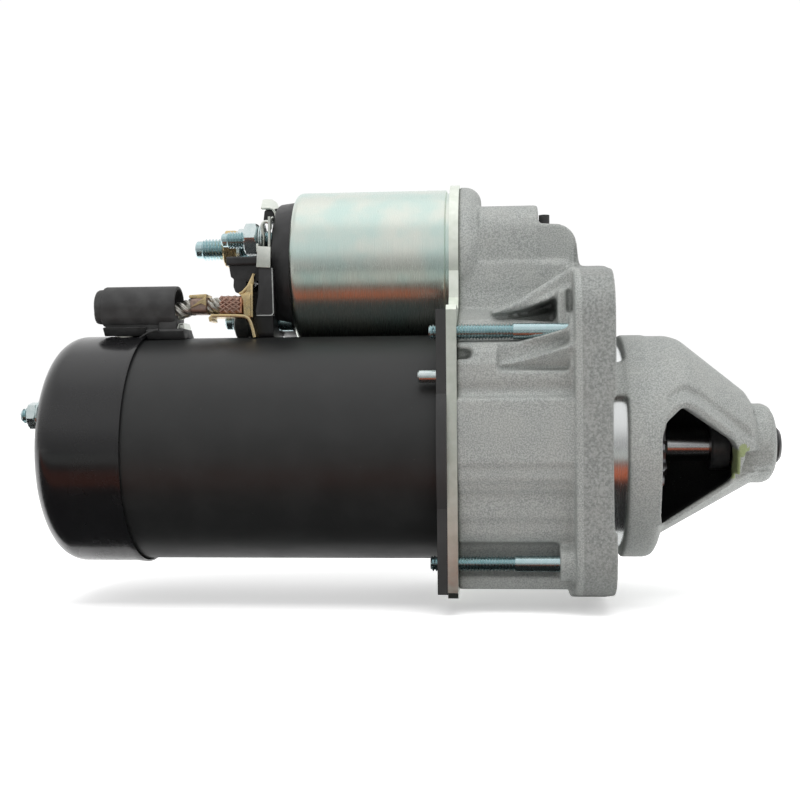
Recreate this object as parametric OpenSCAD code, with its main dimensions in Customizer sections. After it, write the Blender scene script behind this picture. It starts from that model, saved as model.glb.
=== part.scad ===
// Starter motor with planetary reduction: motor, solenoid, shift fork, overrunning clutch and pinion.
// +X runs along the motor axis towards the nose, +Z towards the solenoid, -Y is the near side.
// The origin is on the motor axis in the front face of the mounting flange. Millimetres.

/* [Motor] */
// Outer diameter of the motor tube
yoke_d = 76; // [60:0.5:90]
// Wall of the motor tube
yoke_wall = 3.1; // [2:0.1:5]
// Rear end of the motor tube
yoke_rear = -176; // [-190:0.5:-165]
// Outer diameter of the end cap's rim
cap_d = 78.6; // [77:0.1:82]
// Rear face of the end cap
cap_rear = -186; // [-192:0.5:-182]
// Front rim of the end cap
cap_front = -155.8; // [-165:0.1:-140]
// Outer radius of the armature core
core_r = 28.2; // [20:0.1:30]
// Radius of the commutator
commutator_r = 16; // [12:0.1:20]

/* [Plates] */
// Front face of the middle plate, against the casting
plate_front = -48.8; // [-52:0.1:-45]
// Thickness of the middle plate
plate_t = 3.2; // [2:0.1:5]
// Thickness of the black motor bracket
bracket_t = 3.2; // [2:0.1:5]

/* [Solenoid] */
// Sideways offset of the solenoid's axis
sol_y = 20; // [0:0.5:30]
// Height of the solenoid's axis
sol_z = 63; // [55:0.5:75]
// Radius of the solenoid's steel can
can_r = 27.8; // [22:0.1:32]
// Rear end of the can
can_rear = -106.8; // [-115:0.1:-95]
// Front end of the can
can_front = -52; // [-55:0.1:-50]
// Radius of the plunger
plunger_r = 9.5; // [7:0.1:12]

/* [Flange and nose] */
// Thickness of the mounting flange
flange_t = 12.5; // [8:0.5:16]
// Radius of the pilot diameter behind the nose
pilot_r = 37.3; // [30:0.1:40]
// Radius of the turned relief between flange and pilot
relief_r = 34; // [28:0.1:37]
// Radius of the four mounting holes
mount_hole_r = 4.25; // [3:0.05:6]
// Distance between mounting holes across the flange
mount_dy = 34; // [30:1:60]
// Distance between mounting holes up the flange
mount_dz = 78; // [70:1:110]
// Height of the mounting pattern's centre
mount_z = 0; // [-10:0.5:10]
// Front end of the nose boss
nose_front = 54.9; // [50:0.1:60]

/* [Gears and drive] */
// Module of the planetary gears
gear_m = 1.25; // [1:0.05:2]
// Teeth on the sun
sun_z = 12; // [9:1:18]
// Teeth on each planet
planet_z = 15; // [12:1:24]
// Teeth on the fixed ring gear
ring_z = 42; // [36:3:60]
// Teeth on the drive pinion
pinion_z = 10; // [9:1:13]
// Module of the drive pinion
pinion_m = 2.54; // [2:0.01:3]
// Front face of the pinion at rest
pinion_front = 19; // [15:0.5:22]
// Travel of the clutch and pinion
travel = 15; // [10:0.5:16]
// Radius of the output shaft's front part
shaft_r = 5.4; // [4:0.1:7]
// Radius over the output shaft's splines
spline_r = 7.4; // [6:0.1:9]
// Height of the fork's hinge above the motor axis, along the fork
fork_h = 38; // [34:0.5:42]

/* [Hidden] */
$fn = 64;
yoke_r = yoke_d / 2;
bore_r = yoke_r - yoke_wall;
cap_r = cap_d / 2;
plate_rear = plate_front - plate_t;
bracket_rear = plate_rear - bracket_t;
lean = atan(sol_y / sol_z);
sol_dist = sqrt(sol_y * sol_y + sol_z * sol_z);
gear_mid = gear_m * (sun_z + planet_z) / 2;
half_swing = asin(travel / 2 / fork_h);
groove_x = -29.5;
fork_x = groove_x + travel / 2;
fork_top = sol_dist - fork_h;
fork_tip_x = fork_x + fork_top * sin(half_swing);
bolt_near_up = [-32, 37.3];
bolt_near_low = [-32, -35.6];
bolt_far_low = [32, -35.6];
bolts = [bolt_near_up, bolt_near_low, bolt_far_low];
studs = [[-24.6, 11.8], [24.6, -11.8]];
pin_y = -34.8;
pin_z = 23.3;
brush_angles = [45, 135, 225, 315];
// The turned neck behind the pilot is interrupted between these heights
bridge_low = 16.6;
bridge_h = 11;
lead_x = -164;
lead_y = -3;
lead_z = 49.4;
battery_y = 31;
battery_z = 72.8;
second_y = 6;
second_z = 72.8;
motor_y = 9;
motor_z = 44.6;

// An outline in Y and Z, carried along X from x0.
module along(x0, len) {
    translate([x0, 0, 0])
        rotate([90, 0, 90])
            linear_extrude(len)
                children();
}

// A solid of revolution about X; points are radius and X.
module turned(points, y = 0, z = 0) {
    translate([0, y, z])
        rotate([90, 0, 90])
            rotate_extrude()
                polygon(points);
}

module rod(x0, x1, r, y = 0, z = 0) {
    translate([x0, y, z])
        rotate([0, 90, 0])
            cylinder(h = x1 - x0, r = r);
}

module pipe(x0, x1, r_out, r_in, y = 0, z = 0) {
    turned([[r_in, x0], [r_out, x0], [r_out, x1], [r_in, x1]], y, z);
}

// An outline in X and Z, carried along Y from y0 to y1.
module across(y0, y1) {
    translate([0, y1, 0])
        rotate([90, 0, 0])
            linear_extrude(y1 - y0)
                children();
}

// Tilts a piece into the plane through the motor axis and the solenoid axis.
module leaned() {
    rotate([-lean, 0, 0])
        children();
}

module hex_prism(x0, x1, flats, y, z, turn) {
    translate([x0, y, z])
        rotate([turn, 0, 0])
            rotate([0, 90, 0])
                cylinder(h = x1 - x0, r = flats / 2 / cos(30), $fn = 6);
}

// A nut from x0 to x1 with a washer of radius r_washer up to x2, drilled through.
module nut_and_washer(x0, x1, x2, flats, r_washer, r_hole, y, z, turn) {
    difference() {
        union() {
            hex_prism(x0, x1, flats, y, z, turn);
            rod(x1 - 0.4, x2, r_washer, y, z);
        }
        rod(x0 - 1, x2 + 1, r_hole, y, z);
    }
}

function arc(cx, cy, r, a0, a1, n = 6) =
    [for (i = [0:n]) [cx + r * cos(a0 + (a1 - a0) * i / n), cy + r * sin(a0 + (a1 - a0) * i / n)]];

function inv(a) = tan(a) * 180 / PI - a;

// Half the angle a tooth fills at radius r.
function half_tooth(r, z, rp, rb, pa, thin) =
    90 / z - thin / 2 / rp * 180 / PI + inv(pa) - inv(acos(min(1, rb / r)));

function tooth_radii(r_root, rb, r_tip) =
    concat(r_root < rb ? [r_root] : [], [for (i = [0:5]) max(r_root, rb) + (r_tip - max(r_root, rb)) * i / 5]);

function gear_points(z, m, pa, r_tip, r_root, thin) =
    let (rp = z * m / 2, rb = rp * cos(pa), radii = tooth_radii(r_root, rb, r_tip), n = len(radii))
    [for (t = [0:z - 1]) for (side = [-1, 1]) for (k = [0:n - 1])
        let (r = side < 0 ? radii[k] : radii[n - 1 - k],
             a = t * 360 / z + side * half_tooth(r, z, rp, rb, pa, thin))
        [r * cos(a), r * sin(a)]];

// ---- casting ----

module flange_outline() {
    hull() {
        for (s = [-1, 1]) {
            translate([s * 27, 43])
                circle(r = 14);
            translate([s * 29, -34])
                circle(r = 12);
        }
        translate([0, 35.5])
            scale([1.2, 1])
                circle(r = 25.3);
        translate([0, -26])
            scale([1.2, 1])
                circle(r = 24.8);
    }
}

module bay_outline() {
    polygon([
        [-7, 62], [-8, 52], [-9.5, 46], [-19, 43.2], [-26, 41.5], [-28, 39.5], [-28.5, 34.6], [-34, 34],
        [-36, 31], [-37, 27], [-36.6, 22], [-35.8, 19], [-36.4, 17.2], [-39, 16.2], [-39.2, 6],
        [-39, -4], [-38.2, -4.8], [-38.2, -9.4], [-37, -10], [-36.8, -12.4], [-35.4, -13], [-35.2, -21],
        [-34.4, -22], [-34, -26], [-32.6, -28.7], [-27.5, -30], [-26.5, -37.5], [-29.5, -40.6],
        [-28, -44.4], [-16, -45.4], [16, -45.4], [25, -44.6], [27, -40], [26.5, -30], [34, -27],
        [39, -14], [39, 16], [37, 30], [40, 42], [48, 52], [48.4, 62]
    ]);
}

module near_box(x0, x1, top, far) {
    along(x0, x1 - x0)
        polygon(concat(
            [[far, 44], [far, top - 12]],
            arc(far - 12, top - 12, 12, 0, 90),
            arc(3.5, top - 10, 10, 90, 180),
            [[-6.5, 50], [-8, 44]]));
}

module front_shell() {
    turned([[0, -12], [pilot_r - 0.4, -12], [pilot_r - 0.4, 4.2], [pilot_r, 4.2], [pilot_r, 12], [36.6, 14],
            [34.3, 15.4], [30, 16.6], [13.2, 46.6], [0, 46.6]]);
    intersection() {
        turned([[0, -12], [pilot_r - 0.4, -12], [pilot_r - 0.4, 19.5], [36.3, 22], [35.4, 24.2], [18.4, 45.4],
                [15, 47.6], [0, 47.6]]);
        translate([-13, -40, -9])
            cube([62, 80, 50]);
    }
    turned([[0, 40], [13.3, 40], [13.3, 51.6], [12.4, 53.6], [10.4, nose_front], [0, nose_front]], 0, 0.65);
}

module solenoid_dome() {
    turned(concat([[0, plate_front], [28.6, plate_front]],
                  arc(23, -46.8, 5.6, 0, 90, 8),
                  [[0, -41.2]]), sol_y, sol_z);
    near_box(-42, -21.9, 82.4, 46.4);
    across(-5.4, 39)
        polygon(concat([[-24, 44], [-24, 75.3], [-17, 74.9]], arc(-16.6, 67.5, 7.4, 80, 8, 6),
                       [[-8.3, 60], [-7, 44]]));
}

module fork_ribs() {
    across(-38, -22)
        polygon([[-35, 27.6], [-34, 33], [-26, 34.6], [-18, 36.4], [-12, 38], [-12, 25], [-20, 25.4]]);
    across(-29.5, -6)
        polygon([[-37, 43.4], [-30, 43.8], [-25.8, 44.7], [-21.8, 46.3], [-17.6, 48.2], [-17.2, 48],
                 [-17.2, 37.9], [-12, 37.9], [-12, 58], [-22, 52], [-30, 47]]);
    for (b = bolts)
        rod(-17.2, -12, 5.6, b[0], b[1]);
}

module drive_end_housing() {
    color([0.66, 0.67, 0.66])
        difference() {
            union() {
                along(-flange_t, flange_t)
                    flange_outline();
                along(plate_front, plate_front * -1 - 12)
                    bay_outline();
                front_shell();
                solenoid_dome();
                fork_ribs();
            }
            turned([[0, -60], [33, -60], [33, 12.4], [26.2, 17.2], [10.4, 43], [0, 43]]);
            leaned() {
                translate([-60, -14, 22])
                    cube([35, 28, 54]);
                translate([-60, -14, 22])
                    cube([45, 28, 42]);
                translate([-60, -8, 58])
                    cube([48.5, 16, 12.2]);
            }
            rod(-60, -45, 24, sol_y, sol_z);
            rod(42, 52, 7);
            rod(51, 60, 6);
            across(-60, -5)
                polygon([[15.5, -25], [14.4, -23], [14.3, 5.6], [15.4, 8.2], [20.6, 12.9], [22.4, 12.9],
                         [38, 2.6], [39.6, 0.4], [39.8, -9.6], [38.9, -11]]);
            difference() {
                pipe(-1, 0.01, 39.6, relief_r);
                translate([-2, -50, bridge_low])
                    cube([3, 100, bridge_h]);
            }
            difference() {
                pipe(0, 4.2, 45, relief_r);
                translate([-1, -50, bridge_low])
                    cube([6, 100, bridge_h]);
            }
            for (b = bolts) {
                rod(-60, 1, 2.65, b[0], b[1]);
                rod(-4.9, 1, 5.4, b[0], b[1]);
            }
            for (sy = [-1, 1])
                for (sz = [-1, 1])
                    rod(-13, 1, mount_hole_r, sy * mount_dy / 2, mount_z + sz * mount_dz / 2);
            leaned()
                translate([fork_x, -22, fork_h])
                    rotate([-90, 0, 0])
                        cylinder(h = 44, r = 3);
            translate([-48.9, -40, 28.6])
                cube([4.8, 6, 3.2]);
            translate([-19, 18, 70.9])
                cylinder(h = 8, r = 1.6);
        }
}

module nose_bush() {
    color([0.72, 0.55, 0.32])
        pipe(42.2, 51.8, 7, 5.05);
}

module nose_plug() {
    color([0.16, 0.16, 0.17])
        turned([[0, 52.2], [6, 52.2], [6, 56.6], [5, 57.5], [0, 57.5]]);
}

// ---- plates and motor shell ----

module mid_plate() {
    color([0.80, 0.83, 0.78])
        difference() {
            along(plate_rear, plate_t)
                difference() {
                    union() {
                        translate([sol_y, sol_z])
                            circle(r = 29.4);
                        polygon([[-38, 44], [-38, -44], [-36, -46], [37, -46], [40, -42], [40, 40],
                                 [49.2, 60], [-9, 60], [-11, 50], [-16, 45.6], [-36, 45.6]]);
                    }
                    circle(r = 30.5);
                    translate([sol_y, sol_z])
                        circle(r = 24);
                }
            for (b = bolts)
                rod(-60, -40, 2.65, b[0], b[1]);
            rod(-60, -40, 2, pin_y, pin_z);
        }
}

module yoke_bracket() {
    color([0.05, 0.05, 0.055])
        difference() {
            along(bracket_rear, bracket_t)
                difference() {
                    union() {
                        circle(r = 42);
                        translate([-38, -44.6])
                            square([20, 88.8]);
                        translate([32, -35.6])
                            circle(r = 8);
                        translate([0, -44.6])
                            square([32, 20]);
                        translate([-20, -44.6])
                            square([22, 12]);
                    }
                    circle(r = 33);
                    translate([sol_y, sol_z])
                        circle(r = 28.4);
                }
            for (b = bolts)
                rod(-60, -40, 2.3, b[0], b[1]);
            rod(-60, -50, 2, pin_y, pin_z);
        }
}

module yoke() {
    color([0.05, 0.05, 0.055])
        difference() {
            pipe(yoke_rear, bracket_rear, yoke_r, bore_r);
            translate([lead_x, lead_y, 30])
                cylinder(h = 14, r = 4.2);
        }
}

module end_cap() {
    color([0.045, 0.045, 0.05])
        difference() {
            turned(concat(
                [[0, cap_rear]], arc(cap_r - 9, cap_rear + 8.6, 8.6, -90, 0, 8),
                [[cap_r - 0.4, -159], [cap_r, -158], [cap_r, cap_front], [yoke_r + 0.05, cap_front],
                 [yoke_r + 0.05, -175.9]],
                arc(yoke_r + 0.05 - 8.3, -176.2, 8.3, 0, -90, 8),
                [[9.5, -184.5], [9.5, -179], [8, -179], [8, -184.7], [0, -184.7]]));
            for (s = studs)
                rod(-188, -180, 2.6, s[0], s[1]);
            translate([lead_x, lead_y, 30])
                cylinder(h = 14, r = 4.2);
        }
}

module end_cap_bush() {
    color([0.72, 0.55, 0.32])
        pipe(-184.4, -179, 8, 6.05);
}

module field_magnets() {
    color([0.22, 0.22, 0.23])
        for (a = [0:60:300])
            translate([-150, 0, 0])
                rotate([90 + a, 0, 0])
                    rotate([0, 90, 0])
                        rotate_extrude(angle = 46)
                            translate([28.9, 0])
                                square([5.9, 54]);
}

module brush_plate() {
    color([0.34, 0.24, 0.14])
        difference() {
            union() {
                pipe(-178.6, -176.8, 34.4, 18.4);
                intersection() {
                    pipe(-177, -162.4, 34.4, 18.4);
                    for (a = brush_angles)
                        rotate([a, 0, 0])
                            translate([-177, 18, -5.6])
                                cube([14.6, 17, 11.2]);
                }
            }
            for (a = brush_angles)
                rotate([a, 0, 0])
                    translate([-175.3, 15, -4.1])
                        cube([11.4, 18, 8.2]);
            for (s = studs)
                rod(-180, -170, 2.5, s[0], s[1]);
        }
}

module rear_studs() {
    color([0.72, 0.72, 0.68])
        for (s = studs)
            turned([[0, -192.7], [1.9, -192.7], [2.5, -192.1], [2.5, -176.8], [3.2, -176.8], [3.2, -174.6],
                    [0, -174.6]], s[0], s[1]);
}

module rear_nuts() {
    color([0.74, 0.74, 0.70])
        for (s = studs)
            nut_and_washer(-190.2, -186.8, -186, 8, 4.9, 2.5, s[0], s[1], 12);
}

module housing_bolts() {
    color([0.70, 0.72, 0.74])
        for (b = bolts) {
            turned([[0, -57.6], [1.9, -57.6], [2.5, -57], [2.5, -55.4], [2.2, -55.2], [2.2, -52], [2.5, -51.8],
                    [2.5, -4.8], [0, -4.8]], b[0], b[1]);
            hex_prism(-4.9, -1, 8, b[0], b[1], 10);
        }
}

module dowel_pin() {
    color([0.76, 0.76, 0.74])
        turned([[0, -61], [1.6, -61], [2, -60.5], [2, -48.9], [0, -48.9]], pin_y, pin_z);
}

// ---- reduction gears ----

module ring_gear() {
    color([0.52, 0.53, 0.55])
        along(-78, 20)
            difference() {
                circle(r = bore_r - 0.05);
                rotate(180 / ring_z)
                    polygon(gear_points(ring_z, gear_m, 25, 27.9, 25.1, -0.1));
            }
}

module gear_cover() {
    color([0.55, 0.56, 0.58])
        turned([[6.06, -84], [9, -84], [9, -80.4], [bore_r - 0.05, -80.4], [bore_r - 0.05, -78.1], [6.06, -78.1]]);
}

module support_plate() {
    color([0.50, 0.51, 0.53])
        turned([[10.6, -55.6], [13, -55.6], [32.9, -55.1], [32.9, -52.1], [30.3, -52], [30.3, -49.2], [14, -49.2],
                [13, -46], [10.6, -46]]);
}

module support_bush() {
    color([0.72, 0.55, 0.32])
        pipe(-55.6, -46, 10.6, 8.55);
}

module armature_shaft() {
    color([0.62, 0.63, 0.65]) {
        rod(-184, -77.5, 6);
        along(-77.5, 14)
            rotate(180 / sun_z)
                polygon(gear_points(sun_z, gear_m, 25, 8.75, 5.8, 0.1));
    }
}

module armature_core() {
    color([0.42, 0.43, 0.45])
        along(-148, 50)
            difference() {
                circle(r = core_r);
                circle(r = 6.02);
                for (a = [0:15:345])
                    rotate(a)
                        translate([21, -1.4])
                            square([5.6, 2.8]);
                for (a = [0:15:345])
                    rotate(a)
                        translate([26, -0.6])
                            square([4, 1.2]);
            }
}

module armature_windings() {
    color([0.62, 0.32, 0.16]) {
        along(-148, 50)
            for (a = [0:15:345])
                rotate(a)
                    translate([21.1, -1.3])
                        square([5.4, 2.6]);
        turned([[9, -98], [26.8, -98], [26.4, -93], [23, -89.5], [12, -89], [9, -92]]);
        turned([[9, -148], [26.8, -148], [26, -152], [19, -157], [12, -158], [9, -157]]);
    }
}

module commutator() {
    color([0.70, 0.40, 0.22])
        along(-176, 18)
            difference() {
                circle(r = commutator_r);
                circle(r = 6.02);
                for (a = [7.5:15:360])
                    rotate(a)
                        translate([commutator_r - 0.8, -0.35])
                            square([2, 0.7]);
            }
}

module planet(turn) {
    color([0.58, 0.59, 0.61])
        rotate([turn, 0, 0])
            along(-76.5, 13)
                translate([gear_mid, 0])
                    difference() {
                        rotate(180)
                            polygon(gear_points(planet_z, gear_m, 25, 10.6, 7.8, 0.1));
                        circle(r = 4.06);
                    }
}

module planet_1() {
    planet(0);
}

module planet_2() {
    planet(120);
}

module planet_3() {
    planet(240);
}

module planet_pins() {
    color([0.70, 0.71, 0.73])
        for (a = [0:120:240])
            rotate([a, 0, 0])
                rod(-77.2, -56.6, 4, gear_mid, 0);
}

module output_shaft() {
    color([0.60, 0.61, 0.63])
        difference() {
            union() {
                rod(-62.8, -56.2, 23.6);
                rod(-58, -45, 8.5);
                rod(-46, -12, spline_r - 1);
                along(-45, 33)
                    for (a = [0:45:315])
                        rotate(a)
                            translate([0, -1.2])
                                square([spline_r, 2.4]);
                rod(-13, 51.4, shaft_r - 0.4);
                rod(-13, 41.9, shaft_r);
            }
            for (a = [0:120:240])
                rotate([a, 0, 0])
                    rod(-70, -50, 4, gear_mid, 0);
        }
}

module stop_collar() {
    color([0.07, 0.07, 0.08])
        turned([[shaft_r, 34.2], [7.6, 34.2], [8.2, 34.8], [8.2, 40.2], [shaft_r, 40.2]]);
}

// ---- clutch, pinion and fork ----

module clutch_shell() {
    color([0.30, 0.31, 0.33])
        difference() {
            turned([[0, -36.5], [13, -36.5], [15, -35.4], [20.5, -34.7], [20.5, groove_x - 3.15],
                    [15, groove_x - 3.15], [15, groove_x + 3.15], [20.5, groove_x + 3.15], [20.5, -24.2],
                    [13, -24.2], [13, -10], [20, -9], [21, -8], [21, 4], [20, 5], [0, 5]]);
            rod(-40, 6, spline_r - 0.95);
            along(-40, 36)
                for (a = [0:45:315])
                    rotate(a)
                        translate([0, -1.27])
                            square([spline_r + 0.06, 2.54]);
            rod(-4, 6, 11.06);
        }
}

module pinion() {
    color([0.55, 0.56, 0.58])
        difference() {
            union() {
                rod(-3.9, 5.2, 11);
                along(5.2, pinion_front - 6.2)
                    polygon(gear_points(pinion_z, pinion_m, 20, 14.9, 9.7, 0.2));
                intersection() {
                    along(5.2, pinion_front - 5.2)
                        polygon(gear_points(pinion_z, pinion_m, 20, 14.9, 9.7, 0.2));
                    turned([[0, 5], [16, 5], [16, pinion_front - 2.2], [13.8, pinion_front], [0, pinion_front]]);
                }
            }
            rod(-10, 30, shaft_r + 0.05);
        }
}

module shift_fork() {
    color([0.20, 0.20, 0.21])
        leaned()
            translate([fork_x, 0, fork_h])
                rotate([0, half_swing, 0])
                    translate([0, 0, -fork_h])
                        difference() {
                            union() {
                                along(-2.4, 4.8)
                                    polygon([[25, -4], [25, 14], [12, 31], [7, 37], [7, 44], [3.1, 50], [-3.1, 50],
                                             [-7, 44], [-7, 37], [-12, 31], [-25, 14], [-25, -4], [-21, -4],
                                             [-21, 12], [-9.5, 25], [9.5, 25], [21, 12], [21, -4]]);
                                for (s = [-1, 1])
                                    translate([0, s * 18.4, 0])
                                        rotate([90, 0, 0])
                                            cylinder(h = 6, r = 3, center = true);
                                translate([-1.5, -3, 48])
                                    cube([3, 6, sol_dist - 48]);
                                translate([0, 3, sol_dist])
                                    rotate([90, 0, 0])
                                        cylinder(h = 6, r = 2.5);
                                translate([0, 7, fork_h])
                                    rotate([90, 0, 0])
                                        cylinder(h = 14, r = 6);
                            }
                            translate([0, 10, fork_h])
                                rotate([90, 0, 0])
                                    cylinder(h = 20, r = 3.05);
                        }
}

module fork_pin() {
    color([0.66, 0.67, 0.69])
        leaned()
            translate([fork_x, -18, fork_h])
                rotate([-90, 0, 0])
                    cylinder(h = 36, r = 3);
}

module vent_plug() {
    color([0.12, 0.12, 0.12])
        translate([-19, 18, 71])
            union() {
                cylinder(h = 5, r = 1.6);
                translate([0, 0, 4.3])
                    cylinder(h = 5.9, r = 1.9);
            }
}

// ---- solenoid ----

module solenoid_can() {
    color([0.74, 0.78, 0.76])
        turned(concat(
            [[24.9, can_rear]], arc(can_r - 2, can_rear + 2, 2, -90, 0, 5),
            [[can_r, -54.4], [can_r - 0.8, -54], [can_r - 0.8, can_front], [9.9, can_front], [9.9, -58],
             [25.2, -58], [25.2, -104.6], [24.9, -104.6]]), sol_y, sol_z);
}

module solenoid_coil() {
    color([0.60, 0.30, 0.15])
        pipe(-98, -58.2, 24.8, 9.9, sol_y, sol_z);
}

module solenoid_core() {
    color([0.60, 0.61, 0.63])
        turned([[2.3, -88], [9.8, -88], [9.8, -98.1], [25, -98.1], [25, -103], [2.3, -103]], sol_y, sol_z);
}

module solenoid_cap() {
    color([0.05, 0.05, 0.05])
        difference() {
            union() {
                turned(concat([[0, -113.6]], arc(23.2, -112.4, 1.2, -90, 0, 4),
                              [[24.6, -107], [24.6, -103.1], [0, -103.1]]), sol_y, sol_z);
                rod(-117.4, -113, 8, battery_y, battery_z);
                rod(-116.6, -113, 6.5, second_y, second_z);
                along(-121.6, 9)
                    polygon([[-4, 38.6], [-5, 44], [-4, 54], [2, 57], [18, 56], [20, 50], [19, 40], [14, 38]]);
            }
            rod(-110, -100, 21.6, sol_y, sol_z);
            rod(-125, -107.7, 3.8, battery_y, battery_z);
            rod(-125, -107.7, 2.8, second_y, second_z);
            rod(-125, -107.7, 3.8, motor_y, motor_z);
        }
}

module terminal_guard() {
    color([0.06, 0.06, 0.06])
        difference() {
            union() {
                along(-128.2, 14.6)
                    polygon([[-6, 62.8], [-5.8, 65.4], [0, 65.2], [14, 64.6], [34, 63.6], [35, 60], [24, 61], [10, 62]]);
                across(-4.6, 18)
                    polygon([[-127.8, 63.2], [-127, 58.6], [-126, 58.2], [-126.2, 55.6], [-125.4, 53.4], [-121.7, 53.4],
                             [-121.7, 57.4], [-113.6, 57.4], [-113.6, 63.2]]);
            }
            rod(-130, -100, 8.1, battery_y, battery_z);
            rod(-130, -100, 6.6, second_y, second_z);
            rod(-130, -100, 8.5, motor_y, motor_z);
        }
}

// A stud threaded from its tip to x_free, and a little thinner from there into the solenoid.
module threaded(x_tip, x_free, r, y, z) {
    turned([[0, x_tip], [r - 0.7, x_tip], [r, x_tip + 0.7], [r, x_free], [r - 0.2, x_free], [r - 0.2, -107.8],
            [0, -107.8]], y, z);
}

module battery_stud() {
    color([0.74, 0.75, 0.72]) {
        threaded(-147.8, -136.9, 4, battery_y, battery_z);
        rod(-109.9, -107.8, 6.5, battery_y, battery_z);
    }
}

module battery_nut() {
    color([0.78, 0.70, 0.42])
        nut_and_washer(-136.8, -131.4, -130, 13, 7.6, 3.8, battery_y, battery_z, 30);
}

module second_stud() {
    color([0.74, 0.75, 0.76]) {
        threaded(-132.4, -124.1, 3, second_y, second_z);
        rod(-109.9, -107.8, 4.4, second_y, second_z);
    }
}

module second_nut() {
    color([0.74, 0.76, 0.78])
        nut_and_washer(-124, -118.9, -117.7, 10, 5.6, 2.8, second_y, second_z, 0);
}

module motor_stud() {
    color([0.74, 0.75, 0.72]) {
        threaded(-135.2, -130.5, 4, motor_y, motor_z);
        leaned()
            translate([-109.9, -3.9, 45.3])
                cube([2.1, 7.8, 9.9]);
    }
}

module motor_nut() {
    color([0.74, 0.76, 0.76])
        nut_and_washer(-130.4, -125.2, -124, 13, 7.4, 3.8, motor_y, motor_z, 20);
}

module spade_tab() {
    color([0.84, 0.85, 0.84])
        difference() {
            union() {
                translate([-119.4, 11, 85.4])
                    cube([5.8, 6.3, 0.8]);
                translate([-114.4, 11, 78])
                    cube([0.8, 6.3, 8]);
            }
            translate([-117.6, 14.1, 80])
                cylinder(h = 10, r = 0.8);
        }
}

module square_tab() {
    color([0.78, 0.80, 0.80]) {
        translate([-117.2, -8, 61.6])
            cube([5.2, 1, 7]);
        translate([-117.7, -8, 66])
            cube([1.1, 11, 3.4]);
    }
}

// ---- field lead ----

module grommet() {
    color([0.06, 0.06, 0.06])
        difference() {
            union() {
                rod(-175, -145.4, 7, lead_y, lead_z);
                translate([-172, lead_y - 7, 40])
                    cube([24, 14, 9.4]);
                translate([-177.8, lead_y - 6, 37])
                    cube([36, 12, 4.4]);
            }
            rod(-190, -130, cap_r + 0.05);
            rod(-168.6, -140, 4.6, lead_y, lead_z);
            translate([lead_x, lead_y, 30])
                cylinder(h = 19, r = 4.2);
        }
}

module grommet_strap() {
    color([0.70, 0.71, 0.70])
        translate([-143.6, lead_y - 6.6, 41.5])
            difference() {
                cube([2.4, 13.2, 1.4]);
                translate([1.2, 6.6, -1])
                    cylinder(h = 4, r = 0.7);
            }
}

module field_lead() {
    color([0.66, 0.64, 0.58])
        union() {
            rod(lead_x, -131, 4, lead_y, lead_z);
            translate([lead_x, lead_y, 30])
                cylinder(h = lead_z - 30, r = 4);
            translate([lead_x, lead_y, lead_z])
                sphere(r = 4);
        }
}

module lead_crimp() {
    color([0.74, 0.58, 0.36])
        difference() {
            translate([-142.3, lead_y - 5, lead_z - 4.6])
                cube([5.6, 10, 9.2]);
            rod(-150, -130, 4, lead_y, lead_z);
        }
}

module lead_lug() {
    color([0.78, 0.62, 0.32])
        difference() {
            union() {
                translate([-131, lead_y - 4.4, lead_z - 4.4])
                    cube([9, 8.8, 7.6]);
                along(-124, 2.4)
                    union() {
                        translate([motor_y, motor_z])
                            circle(r = 7.3);
                        translate([lead_y - 4.4, motor_z - 2])
                            square([motor_y - lead_y + 4.4, 9]);
                    }
            }
            rod(-140, -100, 4.1, motor_y, motor_z);
            rod(-140, -124, 8.2, motor_y, motor_z);
        }
}

// ---- plunger and contacts ----

module plunger() {
    color([0.66, 0.67, 0.69])
        difference() {
            union() {
                turned([[0, -74], [8.9, -74], [plunger_r, -73.4], [plunger_r, -46.6], [8.9, -46], [0, -46]], sol_y, sol_z);
                rod(-47, -24, 3, sol_y, sol_z);
                leaned()
                    translate([-26, -6, sol_dist - 3])
                        cube([13.4, 12, 6]);
            }
            leaned()
                translate([fork_tip_x - 2.6, -3.3, sol_dist - 8])
                    cube([5.2, 6.6, 16]);
            rod(-80, -70, 6.6, sol_y, sol_z);
        }
}

// Wall outline of a spring: coils as a folded wall between radius r_in and r_out, points are radius and height.
function folds(r_in, r_out, pitch, n, t) =
    concat([for (i = [0:2 * n]) [i % 2 == 0 ? r_in : r_out, i * pitch / 2]],
           [for (i = [2 * n:-1:0]) [(i % 2 == 0 ? r_in : r_out) + t, i * pitch / 2]]);

module plunger_spring() {
    color([0.60, 0.62, 0.64])
        translate([-87.9, 0, 0])
            turned([for (p = folds(3.6, 5.4, 2.96, 6, 0.6)) [p[0], p[1]]], sol_y, sol_z);
}

module contact_disc() {
    color([0.72, 0.44, 0.24]) {
        rod(-105.7, -104.2, 17, sol_y, sol_z);
        rod(-106.6, -83, 2.2, sol_y, sol_z);
    }
}

// ---- brushes ----

module brush(turn) {
    color([0.13, 0.12, 0.12])
        rotate([turn, 0, 0])
            difference() {
                translate([-175.2, 15.6, -4])
                    cube([11.2, 11.4, 8]);
                rod(-190, -150, commutator_r + 0.05);
            }
}

module brush_1() {
    brush(brush_angles[0]);
}

module brush_2() {
    brush(brush_angles[1]);
}

module brush_3() {
    brush(brush_angles[2]);
}

module brush_4() {
    brush(brush_angles[3]);
}

module brush_springs() {
    color([0.66, 0.66, 0.64])
        for (a = brush_angles)
            rotate([a, 0, 0])
                translate([-169.6, 27.1, 0])
                    rotate([-90, 0, 0])
                        rotate_extrude()
                            polygon(folds(2, 3, 1.45, 4, 0.5));
}

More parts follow.
